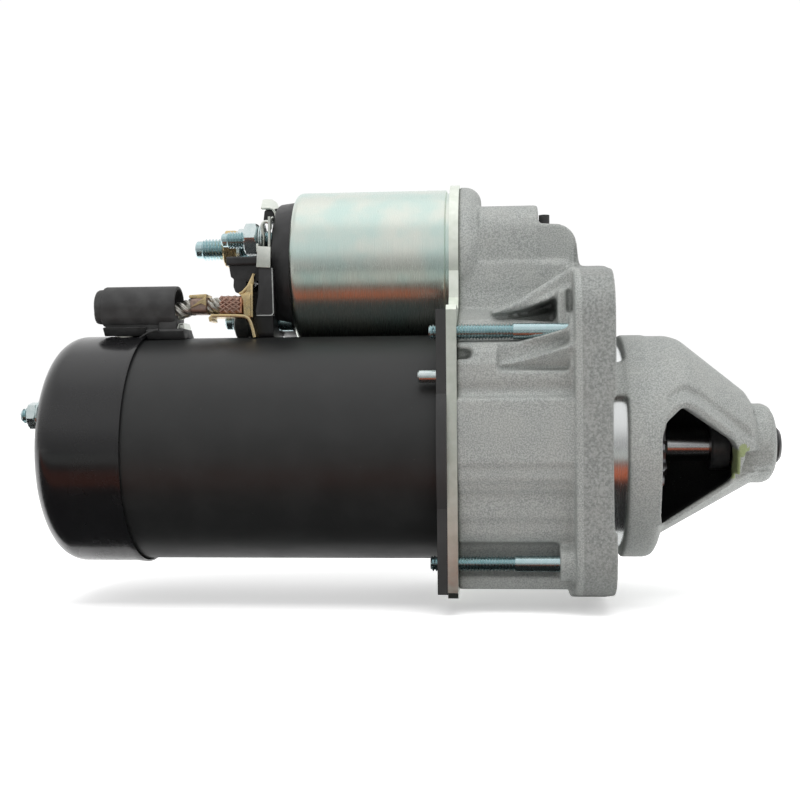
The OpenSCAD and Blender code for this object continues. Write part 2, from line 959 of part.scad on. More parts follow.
drive_end_housing();
nose_bush();
nose_plug();
mid_plate();
yoke();
yoke_bracket();
end_cap();
end_cap_bush();
field_magnets();
brush_plate();
rear_studs();
rear_nuts();
housing_bolts();
dowel_pin();
ring_gear();
gear_cover();
support_plate();
support_bush();
solenoid_can();
solenoid_coil();
solenoid_core();
solenoid_cap();
terminal_guard();
battery_stud();
battery_nut();
second_stud();
second_nut();
motor_stud();
motor_nut();
spade_tab();
square_tab();
grommet();
grommet_strap();
field_lead();
lead_crimp();
lead_lug();
vent_plug();
fork_pin();
armature_shaft();
armature_core();
armature_windings();
commutator();
planet_1();
planet_2();
planet_3();
planet_pins();
output_shaft();
stop_collar();
clutch_shell();
pinion();
shift_fork();
plunger();
plunger_spring();
contact_disc();
brush_1();
brush_2();
brush_3();
brush_4();
brush_springs();
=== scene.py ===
import math

import bmesh
import bpy
from mathutils import Matrix, Vector, noise


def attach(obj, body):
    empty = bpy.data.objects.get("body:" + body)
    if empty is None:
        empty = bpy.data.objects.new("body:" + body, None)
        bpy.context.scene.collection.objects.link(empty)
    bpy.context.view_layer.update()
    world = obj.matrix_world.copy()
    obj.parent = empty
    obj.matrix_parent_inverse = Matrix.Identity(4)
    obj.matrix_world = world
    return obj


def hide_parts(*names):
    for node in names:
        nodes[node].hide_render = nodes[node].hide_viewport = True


# A starter motor on white. X runs along the shaft towards the nose, Z up, and -Y is the near side.
# Places and sizes of pieces are in millimetres, and the MM factor takes them to Blender's metres.

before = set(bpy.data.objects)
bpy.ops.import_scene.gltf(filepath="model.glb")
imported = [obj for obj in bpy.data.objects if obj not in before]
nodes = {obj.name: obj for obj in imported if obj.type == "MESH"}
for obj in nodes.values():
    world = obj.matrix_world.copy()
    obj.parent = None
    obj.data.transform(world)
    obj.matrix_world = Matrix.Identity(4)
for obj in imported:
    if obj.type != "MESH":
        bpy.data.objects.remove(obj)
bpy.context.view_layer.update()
MM = 0.001

# ---------------------------------------------------------------- materials


class Nodes:
    """A node tree with short calls for the nodes it needs."""

    def __init__(self, tree, coordinates):
        self.tree = tree
        self.pos = self.add("ShaderNodeTexCoord").outputs[coordinates]

    def add(self, kind, **values):
        n = self.tree.nodes.new(kind)
        for k, v in values.items():
            setattr(n, k, v)
        return n

    def link(self, a, b):
        self.tree.links.new(a, b)

    def put(self, socket, value):
        if isinstance(value, (int, float, tuple)):
            socket.default_value = value
        else:
            self.link(value, socket)

    def stretched(self, sx, sy, sz):
        m = self.add("ShaderNodeMapping")
        m.inputs["Scale"].default_value = (sx, sy, sz)
        self.link(self.pos, m.inputs["Vector"])
        return m.outputs["Vector"]

    def noise(self, size_mm, detail=3.0, rough=0.55, vector=None):
        n = self.add("ShaderNodeTexNoise")
        n.inputs["Scale"].default_value = 1000.0 / size_mm if vector is None else 1.0
        n.inputs["Detail"].default_value = detail
        n.inputs["Roughness"].default_value = rough
        self.link(self.pos if vector is None else vector, n.inputs["Vector"])
        return n.outputs["Fac"]

    def cells(self, size_mm):
        n = self.add("ShaderNodeTexVoronoi")
        n.inputs["Scale"].default_value = 1000.0 / size_mm
        self.link(self.pos, n.inputs["Vector"])
        return n.outputs["Distance"]

    def ramp(self, fac, lo, hi, a=0.0, b=1.0, smooth=True):
        """Goes from a to b as the value goes from lo to hi."""
        n = self.add("ShaderNodeMapRange")
        if smooth:
            n.interpolation_type = "SMOOTHSTEP"
        for key, v in (("From Min", lo), ("From Max", hi), ("To Min", a), ("To Max", b)):
            n.inputs[key].default_value = v
        self.link(fac, n.inputs["Value"])
        return n.outputs["Result"]

    def maths(self, op, a, b=0.0):
        n = self.add("ShaderNodeMath", operation=op)
        self.put(n.inputs[0], a)
        self.put(n.inputs[1], b)
        return n.outputs[0]

    def mix(self, fac, a, b):
        n = self.add("ShaderNodeMix", data_type="RGBA")
        self.put(n.inputs[0], fac)
        for i, v in ((6, a), (7, b)):
            if isinstance(v, tuple):
                n.inputs[i].default_value = (*v[:3], 1.0)
            else:
                self.link(v, n.inputs[i])
        return n.outputs[2]

    def axis(self, which):
        n = self.add("ShaderNodeSeparateXYZ")
        self.link(self.pos, n.inputs[0])
        return n.outputs[which]


class Shader(Nodes):
    """A material on the Principled shader."""

    def __init__(self, name):
        self.mat = bpy.data.materials.new(name)
        self.mat.use_nodes = True
        super().__init__(self.mat.node_tree, "Object")
        self.bsdf = self.tree.nodes["Principled BSDF"]

    def set(self, **inputs):
        names = {"color": "Base Color", "rough": "Roughness", "metal": "Metallic",
                 "coat": "Coat Weight", "coat_rough": "Coat Roughness", "spec": "Specular IOR Level",
                 "emit": "Emission Strength"}
        for k, v in inputs.items():
            s = self.bsdf.inputs[names[k]]
            if k == "color" and isinstance(v, tuple):
                s.default_value = (*v[:3], 1.0)
            else:
                self.put(s, v)

    def bump(self, height, dist_mm, strength=1.0):
        n = self.add("ShaderNodeBump")
        n.inputs["Strength"].default_value = strength
        n.inputs["Distance"].default_value = dist_mm * MM
        self.link(height, n.inputs["Height"])
        old = self.bsdf.inputs["Normal"]
        if old.is_linked:
            self.link(old.links[0].from_socket, n.inputs["Normal"])
        self.link(n.outputs["Normal"], old)


def green_smear(s, c):
    """A dab of green marking paint at the front corner of the window."""
    x, y, z = (s.axis(i) for i in range(3))

    def spread(value, middle, half):
        return s.maths("POWER", s.maths("DIVIDE", s.maths("SUBTRACT", value, middle), half), 2.0)

    def band(value, middle, full, gone):
        return s.ramp(s.maths("ABSOLUTE", s.maths("SUBTRACT", value, middle)), full, gone, 1.0, 0.0)

    ragged = s.ramp(s.noise(1.3, 4.0, 0.6), 0.25, 0.75, -0.55, 0.55, smooth=False)
    away = s.maths("SQRT", s.maths("ADD", spread(x, 0.0418, 0.0026), spread(z, -0.0012, 0.0022)))
    dab = s.ramp(s.maths("ADD", away, ragged), 0.75, 1.05, 1.0, 0.0)
    edge = s.maths("MULTIPLY", band(x, 0.0399, 0.0005, 0.0010), band(z, -0.0056, 0.0044, 0.0052))
    near_side = s.ramp(y, -0.008, -0.007, 0.8, 0.0)
    mask = s.maths("MULTIPLY", s.maths("MAXIMUM", dab, edge), near_side)
    return s.mix(mask, c, (0.23, 0.28, 0.095))


def cast_aluminium(name, tone=1.0, grain=0.45, depth=0.10, coarse=0.0, marked=False):
    """Blasted casting skin: fine dark grain, soft clouds and pale specks."""
    s = Shader(name)
    fine = s.noise(grain, 4.0, 0.65)
    cloud = s.noise(9.0, 3.0, 0.5)
    specks = s.ramp(s.cells(1.6), 0.0, 0.16, 1.0, 0.0)
    base = (0.385 * tone, 0.400 * tone, 0.385 * tone)
    dark = (0.235 * tone, 0.248 * tone, 0.240 * tone)
    c = s.mix(s.ramp(fine, 0.36, 0.64), dark, base)
    c = s.mix(s.ramp(cloud, 0.35, 0.7, 0.0, 0.22), c, (0.40 * tone, 0.40 * tone, 0.375 * tone))
    c = s.mix(s.maths("MULTIPLY", specks, 0.35), c, (0.66, 0.67, 0.65))
    if marked:
        c = green_smear(s, c)
    s.set(color=c, metal=0.42, rough=s.ramp(fine, 0.3, 0.7, 0.68, 0.52))
    s.bump(s.noise(grain * 1.3, 5.0, 0.7), depth, 0.8)
    if coarse:
        s.bump(s.noise(1.5, 3.0, 0.6), coarse, 0.8)
    return s.mat


def paint(name, base, rough, dust=1.0, coat=0.0, spec=0.5):
    """Black paint with a faint haze, dust specks and a little orange peel."""
    s = Shader(name)
    haze = s.noise(14.0, 4.0, 0.6)
    spots = s.ramp(s.cells(5.2), 0.0, 0.035, 1.0, 0.0)
    fine = s.ramp(s.cells(2.1), 0.0, 0.03, 1.0, 0.0)
    c = s.mix(s.ramp(haze, 0.35, 0.75, 0.0, 0.5), base, tuple(v * 1.7 for v in base))
    c = s.mix(s.maths("MULTIPLY", s.maths("MAXIMUM", spots, fine), 0.22 * dust), c, (0.30, 0.30, 0.28))
    s.set(color=c, rough=s.ramp(haze, 0.3, 0.7, rough - 0.03, rough + 0.05),
          coat=coat, coat_rough=0.12, spec=spec)
    s.bump(s.noise(1.6, 2.0, 0.4), 0.006, 0.5)
    return s.mat


def metal(name, base, rough, tint, grain_mm=0.5, depth=0.004, size=6.0, metallic=1.0):
    """Plain metal, blotched between two tones."""
    s = Shader(name)
    big = s.noise(size, 4.0, 0.6)
    s.set(color=s.mix(s.ramp(big, 0.32, 0.68), base, tint), metal=metallic,
          rough=s.ramp(s.noise(size * 0.4, 3.0, 0.5), 0.3, 0.7, rough * 0.85, rough * 1.2))
    s.bump(s.noise(grain_mm, 3.0, 0.6), depth, 0.6)
    return s.mat


def turned_metal(name, base, tint, rough, pitch_mm, depth):
    """Metal with fine turning marks round the X axis."""
    s = Shader(name)
    rings = s.noise(1.0, 3.0, 0.6, vector=s.stretched(1000.0 / pitch_mm, 25.0, 25.0))
    big = s.noise(10.0, 3.0, 0.5)
    c = s.mix(s.ramp(big, 0.35, 0.7), base, tint)
    c = s.mix(s.ramp(rings, 0.3, 0.7, 0.0, 0.12), c, (0.98, 1.0, 0.98))
    s.set(color=c, metal=1.0, rough=s.ramp(rings, 0.25, 0.75, rough * 0.8, rough * 1.3))
    s.bump(rings, depth, 0.6)
    return s.mat


def zinc_can(name):
    """Bright turned zinc with a blue-green to straw tint and a few dark specks."""
    s = Shader(name)
    rings = s.noise(1.0, 3.0, 0.6, vector=s.stretched(10000.0, 25.0, 25.0))
    cloud = s.noise(16.0, 3.0, 0.5)
    c = s.mix(s.ramp(cloud, 0.35, 0.65), (0.60, 0.74, 0.69), (0.74, 0.77, 0.70))
    c = s.mix(s.ramp(rings, 0.35, 0.7, 0.0, 0.10), c, (0.50, 0.62, 0.60))
    c = s.mix(s.maths("MULTIPLY", s.ramp(s.cells(6.0), 0.0, 0.03, 1.0, 0.0), 0.7), c, (0.05, 0.06, 0.06))
    s.set(color=c, metal=1.0, rough=s.ramp(rings, 0.25, 0.75, 0.20, 0.34))
    s.bump(rings, 0.0012, 0.6)
    return s.mat


def plastic(name, base, rough, depth=0.01, grain=0.35):
    """Dull moulded or pressed stuff with a fine grain."""
    s = Shader(name)
    s.set(color=s.mix(s.ramp(s.noise(4.0, 4.0), 0.35, 0.7), base, tuple(v * 1.6 for v in base)),
          rough=s.ramp(s.noise(2.0, 3.0), 0.3, 0.7, rough - 0.05, rough + 0.07))
    s.bump(s.noise(grain, 3.0, 0.6), depth, 0.6)
    return s.mat


MATERIALS = {
    "cast": cast_aluminium("cast_aluminium", marked=True),
    "coarse": cast_aluminium("cast_sand_side", tone=0.80, grain=0.7, depth=0.16, coarse=0.22),
    # A very dark copy of the casting for its inner faces: painted shade inside the bore and the nose.
    "inside": cast_aluminium("cast_inside_painted_shade", tone=0.12, depth=0.05),
    "machined": turned_metal("machined_aluminium", (0.86, 0.88, 0.88), (0.80, 0.82, 0.82), 0.22,
                             pitch_mm=0.18, depth=0.004),
    "yoke": paint("motor_tube_black", (0.0095, 0.010, 0.010), 0.40, spec=0.50),
    "cap": paint("cap_black", (0.0045, 0.0045, 0.005), 0.24, coat=0.30, spec=0.45),
    "bracket": paint("bracket_black", (0.022, 0.022, 0.022), 0.50, dust=0.3),
    "plate": metal("plate_zinc", (0.90, 0.94, 0.86), 0.36, tint=(0.80, 0.85, 0.76), size=4.0, depth=0.01),
    "can": zinc_can("can_zinc"),
    "screw": metal("blue_zinc", (0.52, 0.66, 0.69), 0.24, tint=(0.46, 0.62, 0.64), size=2.0),
    "nut": metal("white_zinc", (0.68, 0.75, 0.75), 0.26, tint=(0.58, 0.67, 0.67), size=2.5),
    "dark_nut": metal("dark_zinc", (0.10, 0.105, 0.105), 0.34, tint=(0.16, 0.16, 0.15),
                      size=2.0, metallic=0.8),
    "tab": metal("tab_zinc", (0.84, 0.86, 0.80), 0.36, tint=(0.76, 0.80, 0.74), size=2.0, depth=0.006),
    "brass": metal("brass", (0.76, 0.58, 0.30), 0.30, tint=(0.62, 0.50, 0.30), size=1.6),
    # A dark brown copper for the crimp sleeve, whose tone is painted shade.
    "shaded_crimp": metal("crimp_copper_painted_shade", (0.50, 0.36, 0.29), 0.50, tint=(0.34, 0.27, 0.24),
                    grain_mm=0.6, depth=0.06, size=1.2),
    "strand": metal("tinned_strand", (0.70, 0.69, 0.64), 0.34, tint=(0.45, 0.44, 0.40), size=1.0),
    "steel": turned_metal("ground_steel", (0.62, 0.63, 0.64), (0.55, 0.56, 0.58), 0.20,
                          pitch_mm=0.15, depth=0.002),
    "gear": metal("gear_steel", (0.50, 0.51, 0.53), 0.32, tint=(0.40, 0.41, 0.43)),
    "bronze": metal("sintered_bronze", (0.60, 0.42, 0.22), 0.48, tint=(0.46, 0.32, 0.18), depth=0.02),
    "copper": metal("copper", (0.80, 0.42, 0.26), 0.30, tint=(0.66, 0.32, 0.19), size=2.0),
    "oxide": metal("black_oxide", (0.035, 0.036, 0.038), 0.34, tint=(0.06, 0.06, 0.06),
                   size=3.0, metallic=0.6),
    "strand_copper": metal("copper_strand", (0.56, 0.36, 0.28), 0.42, tint=(0.40, 0.27, 0.22),
                           grain_mm=0.3, depth=0.03, size=1.0),
    "plastic": plastic("black_moulding", (0.011, 0.011, 0.0115), 0.42),
    # A pale grey plastic, used only for the painted highlight along the clip block's edges.
    "edge": plastic("pale_edge_painted_highlight", (0.16, 0.165, 0.16), 0.45),
    "rubber": plastic("black_rubber", (0.022, 0.022, 0.022), 0.56, depth=0.02, grain=0.5),
    "ferrite": plastic("ferrite", (0.07, 0.07, 0.075), 0.60, depth=0.03),
    "lamination": turned_metal("laminated_steel", (0.30, 0.31, 0.33), (0.24, 0.25, 0.27), 0.42,
                               pitch_mm=0.5, depth=0.03),
    "phenolic": plastic("phenolic_board", (0.20, 0.12, 0.06), 0.50),
    "carbon": plastic("carbon", (0.04, 0.04, 0.04), 0.50, depth=0.02),
}

# CAD pieces that keep their shape and only get a material.
CARRIED = {
    "nose_bush": "bronze", "nose_plug": "oxide", "yoke": "yoke", "end_cap_bush": "bronze",
    "field_magnets": "ferrite", "brush_plate": "phenolic", "dowel_pin": "nut", "ring_gear": "gear",
    "gear_cover": "gear", "support_plate": "gear", "support_bush": "bronze", "solenoid_coil": "copper",
    "solenoid_core": "steel", "vent_plug": "rubber", "fork_pin": "steel", "armature_shaft": "steel",
    "armature_core": "lamination", "armature_windings": "copper", "commutator": "copper",
    "planet_1": "gear", "planet_2": "gear", "planet_3": "gear", "planet_pins": "steel",
    "output_shaft": "steel", "stop_collar": "oxide", "clutch_shell": "oxide", "pinion": "gear",
    "shift_fork": "plastic", "plunger": "steel", "plunger_spring": "nut", "contact_disc": "copper",
    "brush_1": "carbon", "brush_2": "carbon", "brush_3": "carbon", "brush_4": "carbon",
    "brush_springs": "steel", "mid_plate": "plate", "yoke_bracket": "bracket",
}
for node_name, key in CARRIED.items():
    mesh = nodes[node_name].data
    mesh.materials.clear()
    mesh.materials.append(MATERIALS[key])

# ---------------------------------------------------------------- mesh tools


def face_outward(mesh):
    bm = bmesh.new()
    bm.from_mesh(mesh)
    bmesh.ops.recalc_face_normals(bm, faces=bm.faces)
    bm.to_mesh(mesh)
    bm.free()


def add_object(name, mesh):
    o = bpy.data.objects.new(name, mesh)
    bpy.context.scene.collection.objects.link(o)
    return o


def piece(name, verts, faces, mat, slot, replaces=(), angle=32):
    """A visible piece on the fixed body, from points in millimetres."""
    mesh = bpy.data.meshes.new(name)
    mesh.from_pydata([tuple(c * MM for c in v) for v in verts], [], faces)
    mesh.validate()
    face_outward(mesh)
    for p in mesh.polygons:
        p.use_smooth = True
    mesh.set_sharp_from_angle(angle=math.radians(angle))
    o = add_object(name, mesh)
    mesh.materials.append(MATERIALS[mat])
    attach(o, "frame")
    if replaces:
        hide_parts(*replaces)


class Build:
    """Gathers vertices and faces of one piece, in millimetres."""

    def __init__(self):
        self.verts = []
        self.faces = []

    def add(self, verts, faces):
        k = len(self.verts)
        self.verts += [tuple(p) for p in verts]
        self.faces += [tuple(i + k for i in f) for f in faces]

    def rings(self, rings, capped=True):
        """Joins equal closed rings of points into a skin, with a face over each end if it is capped."""
        n = len(rings[0])
        k = len(self.verts)
        for ring in rings:
            self.verts += [tuple(p) for p in ring]
        for i in range(len(rings) - 1):
            for j in range(n):
                a = k + i * n + j
                b = k + i * n + (j + 1) % n
                self.faces.append((a, b, b + n, a + n))
        if capped:
            self.faces.append(tuple(k + j for j in range(n)))
            m = k + (len(rings) - 1) * n
            self.faces.append(tuple(m + n - 1 - j for j in range(n)))

    def endless(self, rings):
        """Joins rings into a skin whose last ring meets the first."""
        k = len(self.verts)
        self.rings(rings + [rings[0]], capped=False)
        last = len(self.verts) - len(rings[0])
        self.faces = [tuple(k + (i - last) if i >= last else i for i in f) for f in self.faces]
        del self.verts[last:]

    def lathe(self, profile, y=0.0, z=0.0, n=128, closed=False):
        """Turns a profile of (x, radius) about an axis along X."""
        rings = []
        for x, r in profile:
            r = max(r, 0.0001)
            rings.append([(x, y + r * math.cos(t), z + r * math.sin(t))
                          for t in (2 * math.pi * j / n for j in range(n))])
        if closed:
            self.endless(rings)
        else:
            self.rings(rings)

    def thread(self, x0, x1, r, pitch, y, z, n=40, chamfer=0.7, front_chamfer=True):
        """A screw thread along X, with its rear end and its front end chamfered."""
        depth = 0.61 * pitch
        flat = 0.12
        steps = max(2, int((x1 - x0) / pitch * 8))
        rings = []
        for i in range(steps + 1):
            x = x0 + (x1 - x0) * i / steps
            ring = []
            for j in range(n):
                t = 2 * math.pi * j / n
                u = ((x - pitch * t / (2 * math.pi)) / pitch) % 1.0
                w = abs(u - 0.5) * 2
                rr = r - depth * min(1.0, max(0.0, (w - flat) / (1 - 2 * flat)))
                rr = min(rr, r - chamfer + x - x0)
                if front_chamfer:
                    rr = min(rr, r - chamfer + x1 - x)
                ring.append((x, y + rr * math.cos(t), z + rr * math.sin(t)))
            rings.append(ring)
        self.rings(rings)

    def hexagon(self, x0, x1, flats, y, z, turn=0.0, hole=None, n=96, both=True, cham=0.93):
        """A hexagon along X with turned corners, and a hole if asked."""
        a0 = math.radians(turn)
        h = x1 - x0
        slope = 1.75
        rings = []
        for part in (0, 0.03, 0.08, 0.14, 0.2, 0.3, 0.5, 0.7, 0.8, 0.86, 0.92, 0.97, 1):
            dx = h * part
            ring = []
            for j in range(n):
                t = 2 * math.pi * j / n
                k = (t - a0) % (math.pi / 3) - math.pi / 6
                rr = flats / 2 / math.cos(k)
                limit = flats / 2 * cham + dx * slope
                if both:
                    limit = min(limit, flats / 2 * cham + (h - dx) * slope)
                rr = min(rr, limit)
                ring.append((x0 + dx, y + rr * math.cos(t), z + rr * math.sin(t)))
            rings.append(ring)
        if hole is None:
            self.rings(rings)
            return
        sink = 0.35
        for x, r in ((x1, hole + sink), (x1 - sink, hole), (x0 + sink, hole), (x0, hole + sink)):
            rings.append([(x, y + r * math.cos(t), z + r * math.sin(t))
                          for t in (2 * math.pi * j / n for j in range(n))])
        self.endless(rings)

    def block(self, lo, hi, edge=0.4, seg=2):
        """A box with rounded edges."""
        bm = bmesh.new()
        bmesh.ops.create_cube(bm, size=1.0)
        for v in bm.verts:
            v.co = Vector([lo[i] + (v.co[i] + 0.5) * (hi[i] - lo[i]) for i in range(3)])
        bmesh.ops.bevel(bm, geom=list(bm.edges), offset=edge, segments=seg, profile=0.5, affect="EDGES")
        self.take(bm)

    def slab(self, outline, x0, x1, plane="yz", edge=0.3, seg=2):
        """An outline with rounded edges: in Y and Z along X, or in X and Z along Y."""
        def at(p, d):
            return (d, p[0], p[1]) if plane == "yz" else (p[0], d, p[1])

        bm = bmesh.new()
        low = [bm.verts.new(at(p, x0)) for p in outline]
        top = [bm.verts.new(at(p, x1)) for p in outline]
        n = len(outline)
        bm.faces.new(low)
        bm.faces.new(top[::-1])
        for i in range(n):
            bm.faces.new((low[i], top[i], top[(i + 1) % n], low[(i + 1) % n]))
        bmesh.ops.recalc_face_normals(bm, faces=bm.faces)
        if edge:
            bmesh.ops.bevel(bm, geom=list(bm.edges), offset=edge, segments=seg, profile=0.5, affect="EDGES",
                            clamp_overlap=True)
        self.take(bm)

    def take(self, bm):
        """Adds a bmesh and frees it."""
        bm.verts.ensure_lookup_table()
        bm.verts.index_update()
        self.add([v.co[:] for v in bm.verts], [[v.index for v in f.verts] for f in bm.faces])
        bm.free()

    def tube(self, path, r, n):
        """A round wire along points; r is a number or one for each point."""
        pts = [Vector(p) for p in path]
        rings = []
        up = None
        for i, p in enumerate(pts):
            d = (pts[min(i + 1, len(pts) - 1)] - pts[max(i - 1, 0)]).normalized()
            if up is None:
                up = d.orthogonal().normalized()
            up = (up - d * up.dot(d)).normalized()
            side = d.cross(up)
            rr = r[i] if isinstance(r, (list, tuple)) else r
            rings.append([p + (up * math.cos(t) + side * math.sin(t)) * rr
                          for t in (2 * math.pi * j / n for j in range(n))])
        self.rings(rings)

    def out(self, name, mat, slot, **kw):
        piece(name, self.verts, self.faces, mat, slot, **kw)


def arc(cx, cr, r, a0, a1, n=8):
    """Points (x, radius) on an arc, for a profile."""
    return [(cx + r * math.cos(math.radians(a0 + (a1 - a0) * i / n)),
             cr + r * math.sin(math.radians(a0 + (a1 - a0) * i / n))) for i in range(n + 1)]


def round_outline(points, r, n=5):
    """Rounds the corners of an outline."""
    out = []
    k = len(points)
    for i in range(k):
        a, b, c = (Vector(points[(i + j) % k]) for j in (-1, 0, 1))
        u, w = (a - b), (c - b)
        d = min(r, u.length * 0.45, w.length * 0.45)
        p, q = b + u.normalized() * d, b + w.normalized() * d
        for j in range(n + 1):
            t = j / n
            out.append(tuple(p * (1 - t) ** 2 + b * 2 * t * (1 - t) + q * t * t))
    return out


# ---------------------------------------------------------------- casting


def loft(b, stations):
    """A closed skin through sections of Y and Z points, one section at each X."""
    b.rings([[(x, p[0], p[1]) for p in sec] for x, sec in stations])


def lip_shape(b):
    """The upper surface runs out towards the flange and ends in a lip over the scoop."""
    stations = []
    for i in range(13):
        t = i / 12
        x = -38.0 + 24.4 * t
        z = 42.9 + 7.6 * t ** 1.7
        y = -26.6 - 4.2 * t
        top = 45.6 + 12.0 * t ** 1.5
        stations.append((x, [(y, z), (y + 0.6, z + 1.0), (y * 0.55 - 4.0, (z + top) / 2 + 1.0), (-8.0, top),
                             (4.0, top), (4.0, z - 0.6), (y + 4.0, z - 0.2)]))
    loft(b, stations)


# Y at which a ridge starts, inside the wall.
ROOT = -27.0


def horn(b, x0, x1, z0, z1, y0, y1, up0, up1, low0, low1, bend):
    """A ridge that grows out of the side: its crest rises from z0 to z1 and comes out from y0 to y1."""
    stations = []
    for i in range(13):
        t = i / 12
        x = x0 + (x1 - x0) * t
        z = z0 + (z1 - z0) * t ** bend
        y = y0 + (y1 - y0) * t ** 1.2
        up = up0 + (up1 - up0) * t
        low = low0 + (low1 - low0) * t
        base = y0 + 1.2
        stations.append((x, [(ROOT, z + up + 1.0), (base, z + up), ((y + base) / 2 - 0.5, z + up * 0.45),
                             (y, z + 0.5), (y - 0.05, z), (y + 0.5, z - 0.35),
                             ((y + base) / 2 + 0.6, z - low * 0.45), (base, z - low), (ROOT, z - low - 1.0)]))
    loft(b, stations)


# Radius of the turned nose at each X.
NOSE = [(-20, 36.9), (19.5, 36.9), (22, 36.3), (24.2, 35.4), (45.4, 18.4), (47.6, 14.2), (60, 13.3)]


def on_line(points, x):
    """Height of a line of points at x."""
    for (x0, y0), (x1, y1) in zip(points, points[1:]):
        if x <= x1:
            return y0 + (y1 - y0) * (x - x0) / (x1 - x0)
    return points[-1][1]


def follow(b, edge, radii, out, surface):
    """A round bead along an edge of X and Z points, lying on the turned surface on the near side."""
    path = []
    radius = []
    for i in range(len(edge) - 1):
        for j in range(6):
            t = j / 6
            x = edge[i][0] * (1 - t) + edge[i + 1][0] * t
            z = edge[i][1] * (1 - t) + edge[i + 1][1] * t
            r = on_line(surface, x)
            path.append((x, -math.sqrt(max(r * r - z * z, 1.0)) - out, z))
            radius.append(radii[i] * (1 - t) + radii[i + 1] * t)
    b.tube(path, radius, n=10)


def window_lip(b):
    """A raised band along the upper edges of the window and a bead below it."""
    edge = [(14.9, -24.0), (13.8, -21.0), (13.6, -8.0), (13.6, 4.0), (14.6, 9.0), (18.0, 13.2), (21.6, 14.6),
            (26.0, 12.2), (33.0, 7.4), (39.6, 2.6)]
    follow(b, edge, [0.5, 0.8, 0.8, 0.9, 1.3, 1.5, 1.6, 1.5, 1.4, 1.2], -0.35, NOSE)
    low = [(14, 36.4), (15.4, 34.3), (16.6, 30), (46.6, 13.2)]
    follow(b, [(18.0, -24.6), (27.0, -19.2), (38.8, -12.1), (40.5, -10.8)], [0.9, 0.9, 0.8, 0.5], 0.0, low)


def window_groove(b):
    """The hollow that runs round outside the raised band."""
    edge = [(13.9, 12.0), (17.8, 17.0), (22.4, 19.0), (27.0, 17.2), (32.0, 13.8), (38.0, 9.4), (43.6, 5.2),
            (46.6, 2.2)]
    follow(b, edge, [0.8, 1.5, 1.9, 1.8, 1.5, 1.6, 2.0, 1.3], 0.7, NOSE)


def apply_modifiers(o):
    dg = bpy.context.evaluated_depsgraph_get()
    done = bpy.data.meshes.new_from_object(o.evaluated_get(dg))
    o.modifiers.clear()
    o.data = done


def cutter(shells):
    """An object of closed shells, to cut with."""
    mesh = bpy.data.meshes.new("cut")
    mesh.from_pydata([tuple(c * MM for c in v) for v in shells.verts], [], shells.faces)
    face_outward(mesh)
    return add_object("cut", mesh)


def take_away(o, tool, overlapping=False):
    """Cuts the tool out of an object and removes it; overlapping is for a tool of shells that cross."""
    m = o.modifiers.new("cut", "BOOLEAN")
    m.operation = "DIFFERENCE"
    m.solver = "EXACT"
    m.use_self = overlapping
    m.object = tool
    apply_modifiers(o)
    bpy.data.objects.remove(tool)


def copy_housing():
    """The CAD housing as one welded skin."""
    src = nodes["drive_end_housing"].data
    mesh = bpy.data.meshes.new("drive_end_casting")
    mesh.from_pydata([v.co[:] for v in src.vertices], [], [tuple(p.vertices) for p in src.polygons])
    bm = bmesh.new()
    bm.from_mesh(mesh)
    bmesh.ops.remove_doubles(bm, verts=bm.verts, dist=1e-6)
    bmesh.ops.recalc_face_normals(bm, faces=bm.faces)
    bm.to_mesh(mesh)
    bm.free()
    return add_object("drive_end_casting", mesh)


def cut_pockets(o):
    """Pockets, slots and seams in the near side of the casting."""
    cuts = Build()
    # The hollow above the upper horn, the one round both horns, and the notch behind them.
    cuts.block((-39.5, -45.0, 38.3), (-13.9, -28.3, 60.0), 0)
    cuts.block((-36.0, -45.0, 25.0), (-13.9, -33.9, 38.6), 0)
    cuts.block((-49.5, -45.0, 28.7), (-44.6, -31.6, 31.8), 0)
    # The upright, the level and the slanted seam on the dome.
    cuts.block((-41.1, -12.0, 49.0), (-40.1, -5.6, 79.5), 0)
    cuts.block((-40.6, -12.0, 48.6), (-22.0, -6.1, 49.5), 0)
    cuts.slab([(-24.9, 76.0), (-24.1, 76.0), (-21.7, 48.6), (-22.5, 48.6)], -12.0, -5.8, plane="xz", edge=0)
    # The broken-out front corner of the window and a nick above it.
    cuts.block((40.6, -20.0, -14.0), (56.0, -11.9, -1.3), 0)
    cuts.block((46.9, -14.0, 9.7), (50.4, -7.9, 11.2), 0)
    window_groove(cuts)
    take_away(o, cutter(cuts), overlapping=True)


def cut_scoop(o):
    """The dark scoop under the lip, deeper towards the rear."""
    cuts = Build()
    stations = []
    for i in range(9):
        t = i / 8
        x = -36.6 + 19.2 * t
        deep = -28.6 + 12.0 * t
        low = 42.8 - 2.4 * t ** 0.6
        top = 43.6 + 3.8 * t ** 0.9
        stations.append((x, [(-60.0, low), (deep, low), (deep, top), (-60.0, top)]))
    loft(cuts, stations)
    take_away(o, cutter(cuts), overlapping=True)


def cut_neck(o):
    """A turned groove round the neck in front of the flange, left out where the web runs through it."""
    groove = Build()
    groove.lathe([(-0.9, 30.0), (-0.9, 48.0), (4.1, 48.0), (4.1, 30.0)], n=96, closed=True)
    keep = Build()
    keep.block((-3.0, -60.0, 16.4), (8.0, 60.0, 27.8), 0)
    tool = cutter(groove)
    take_away(tool, cutter(keep))
    take_away(o, tool)


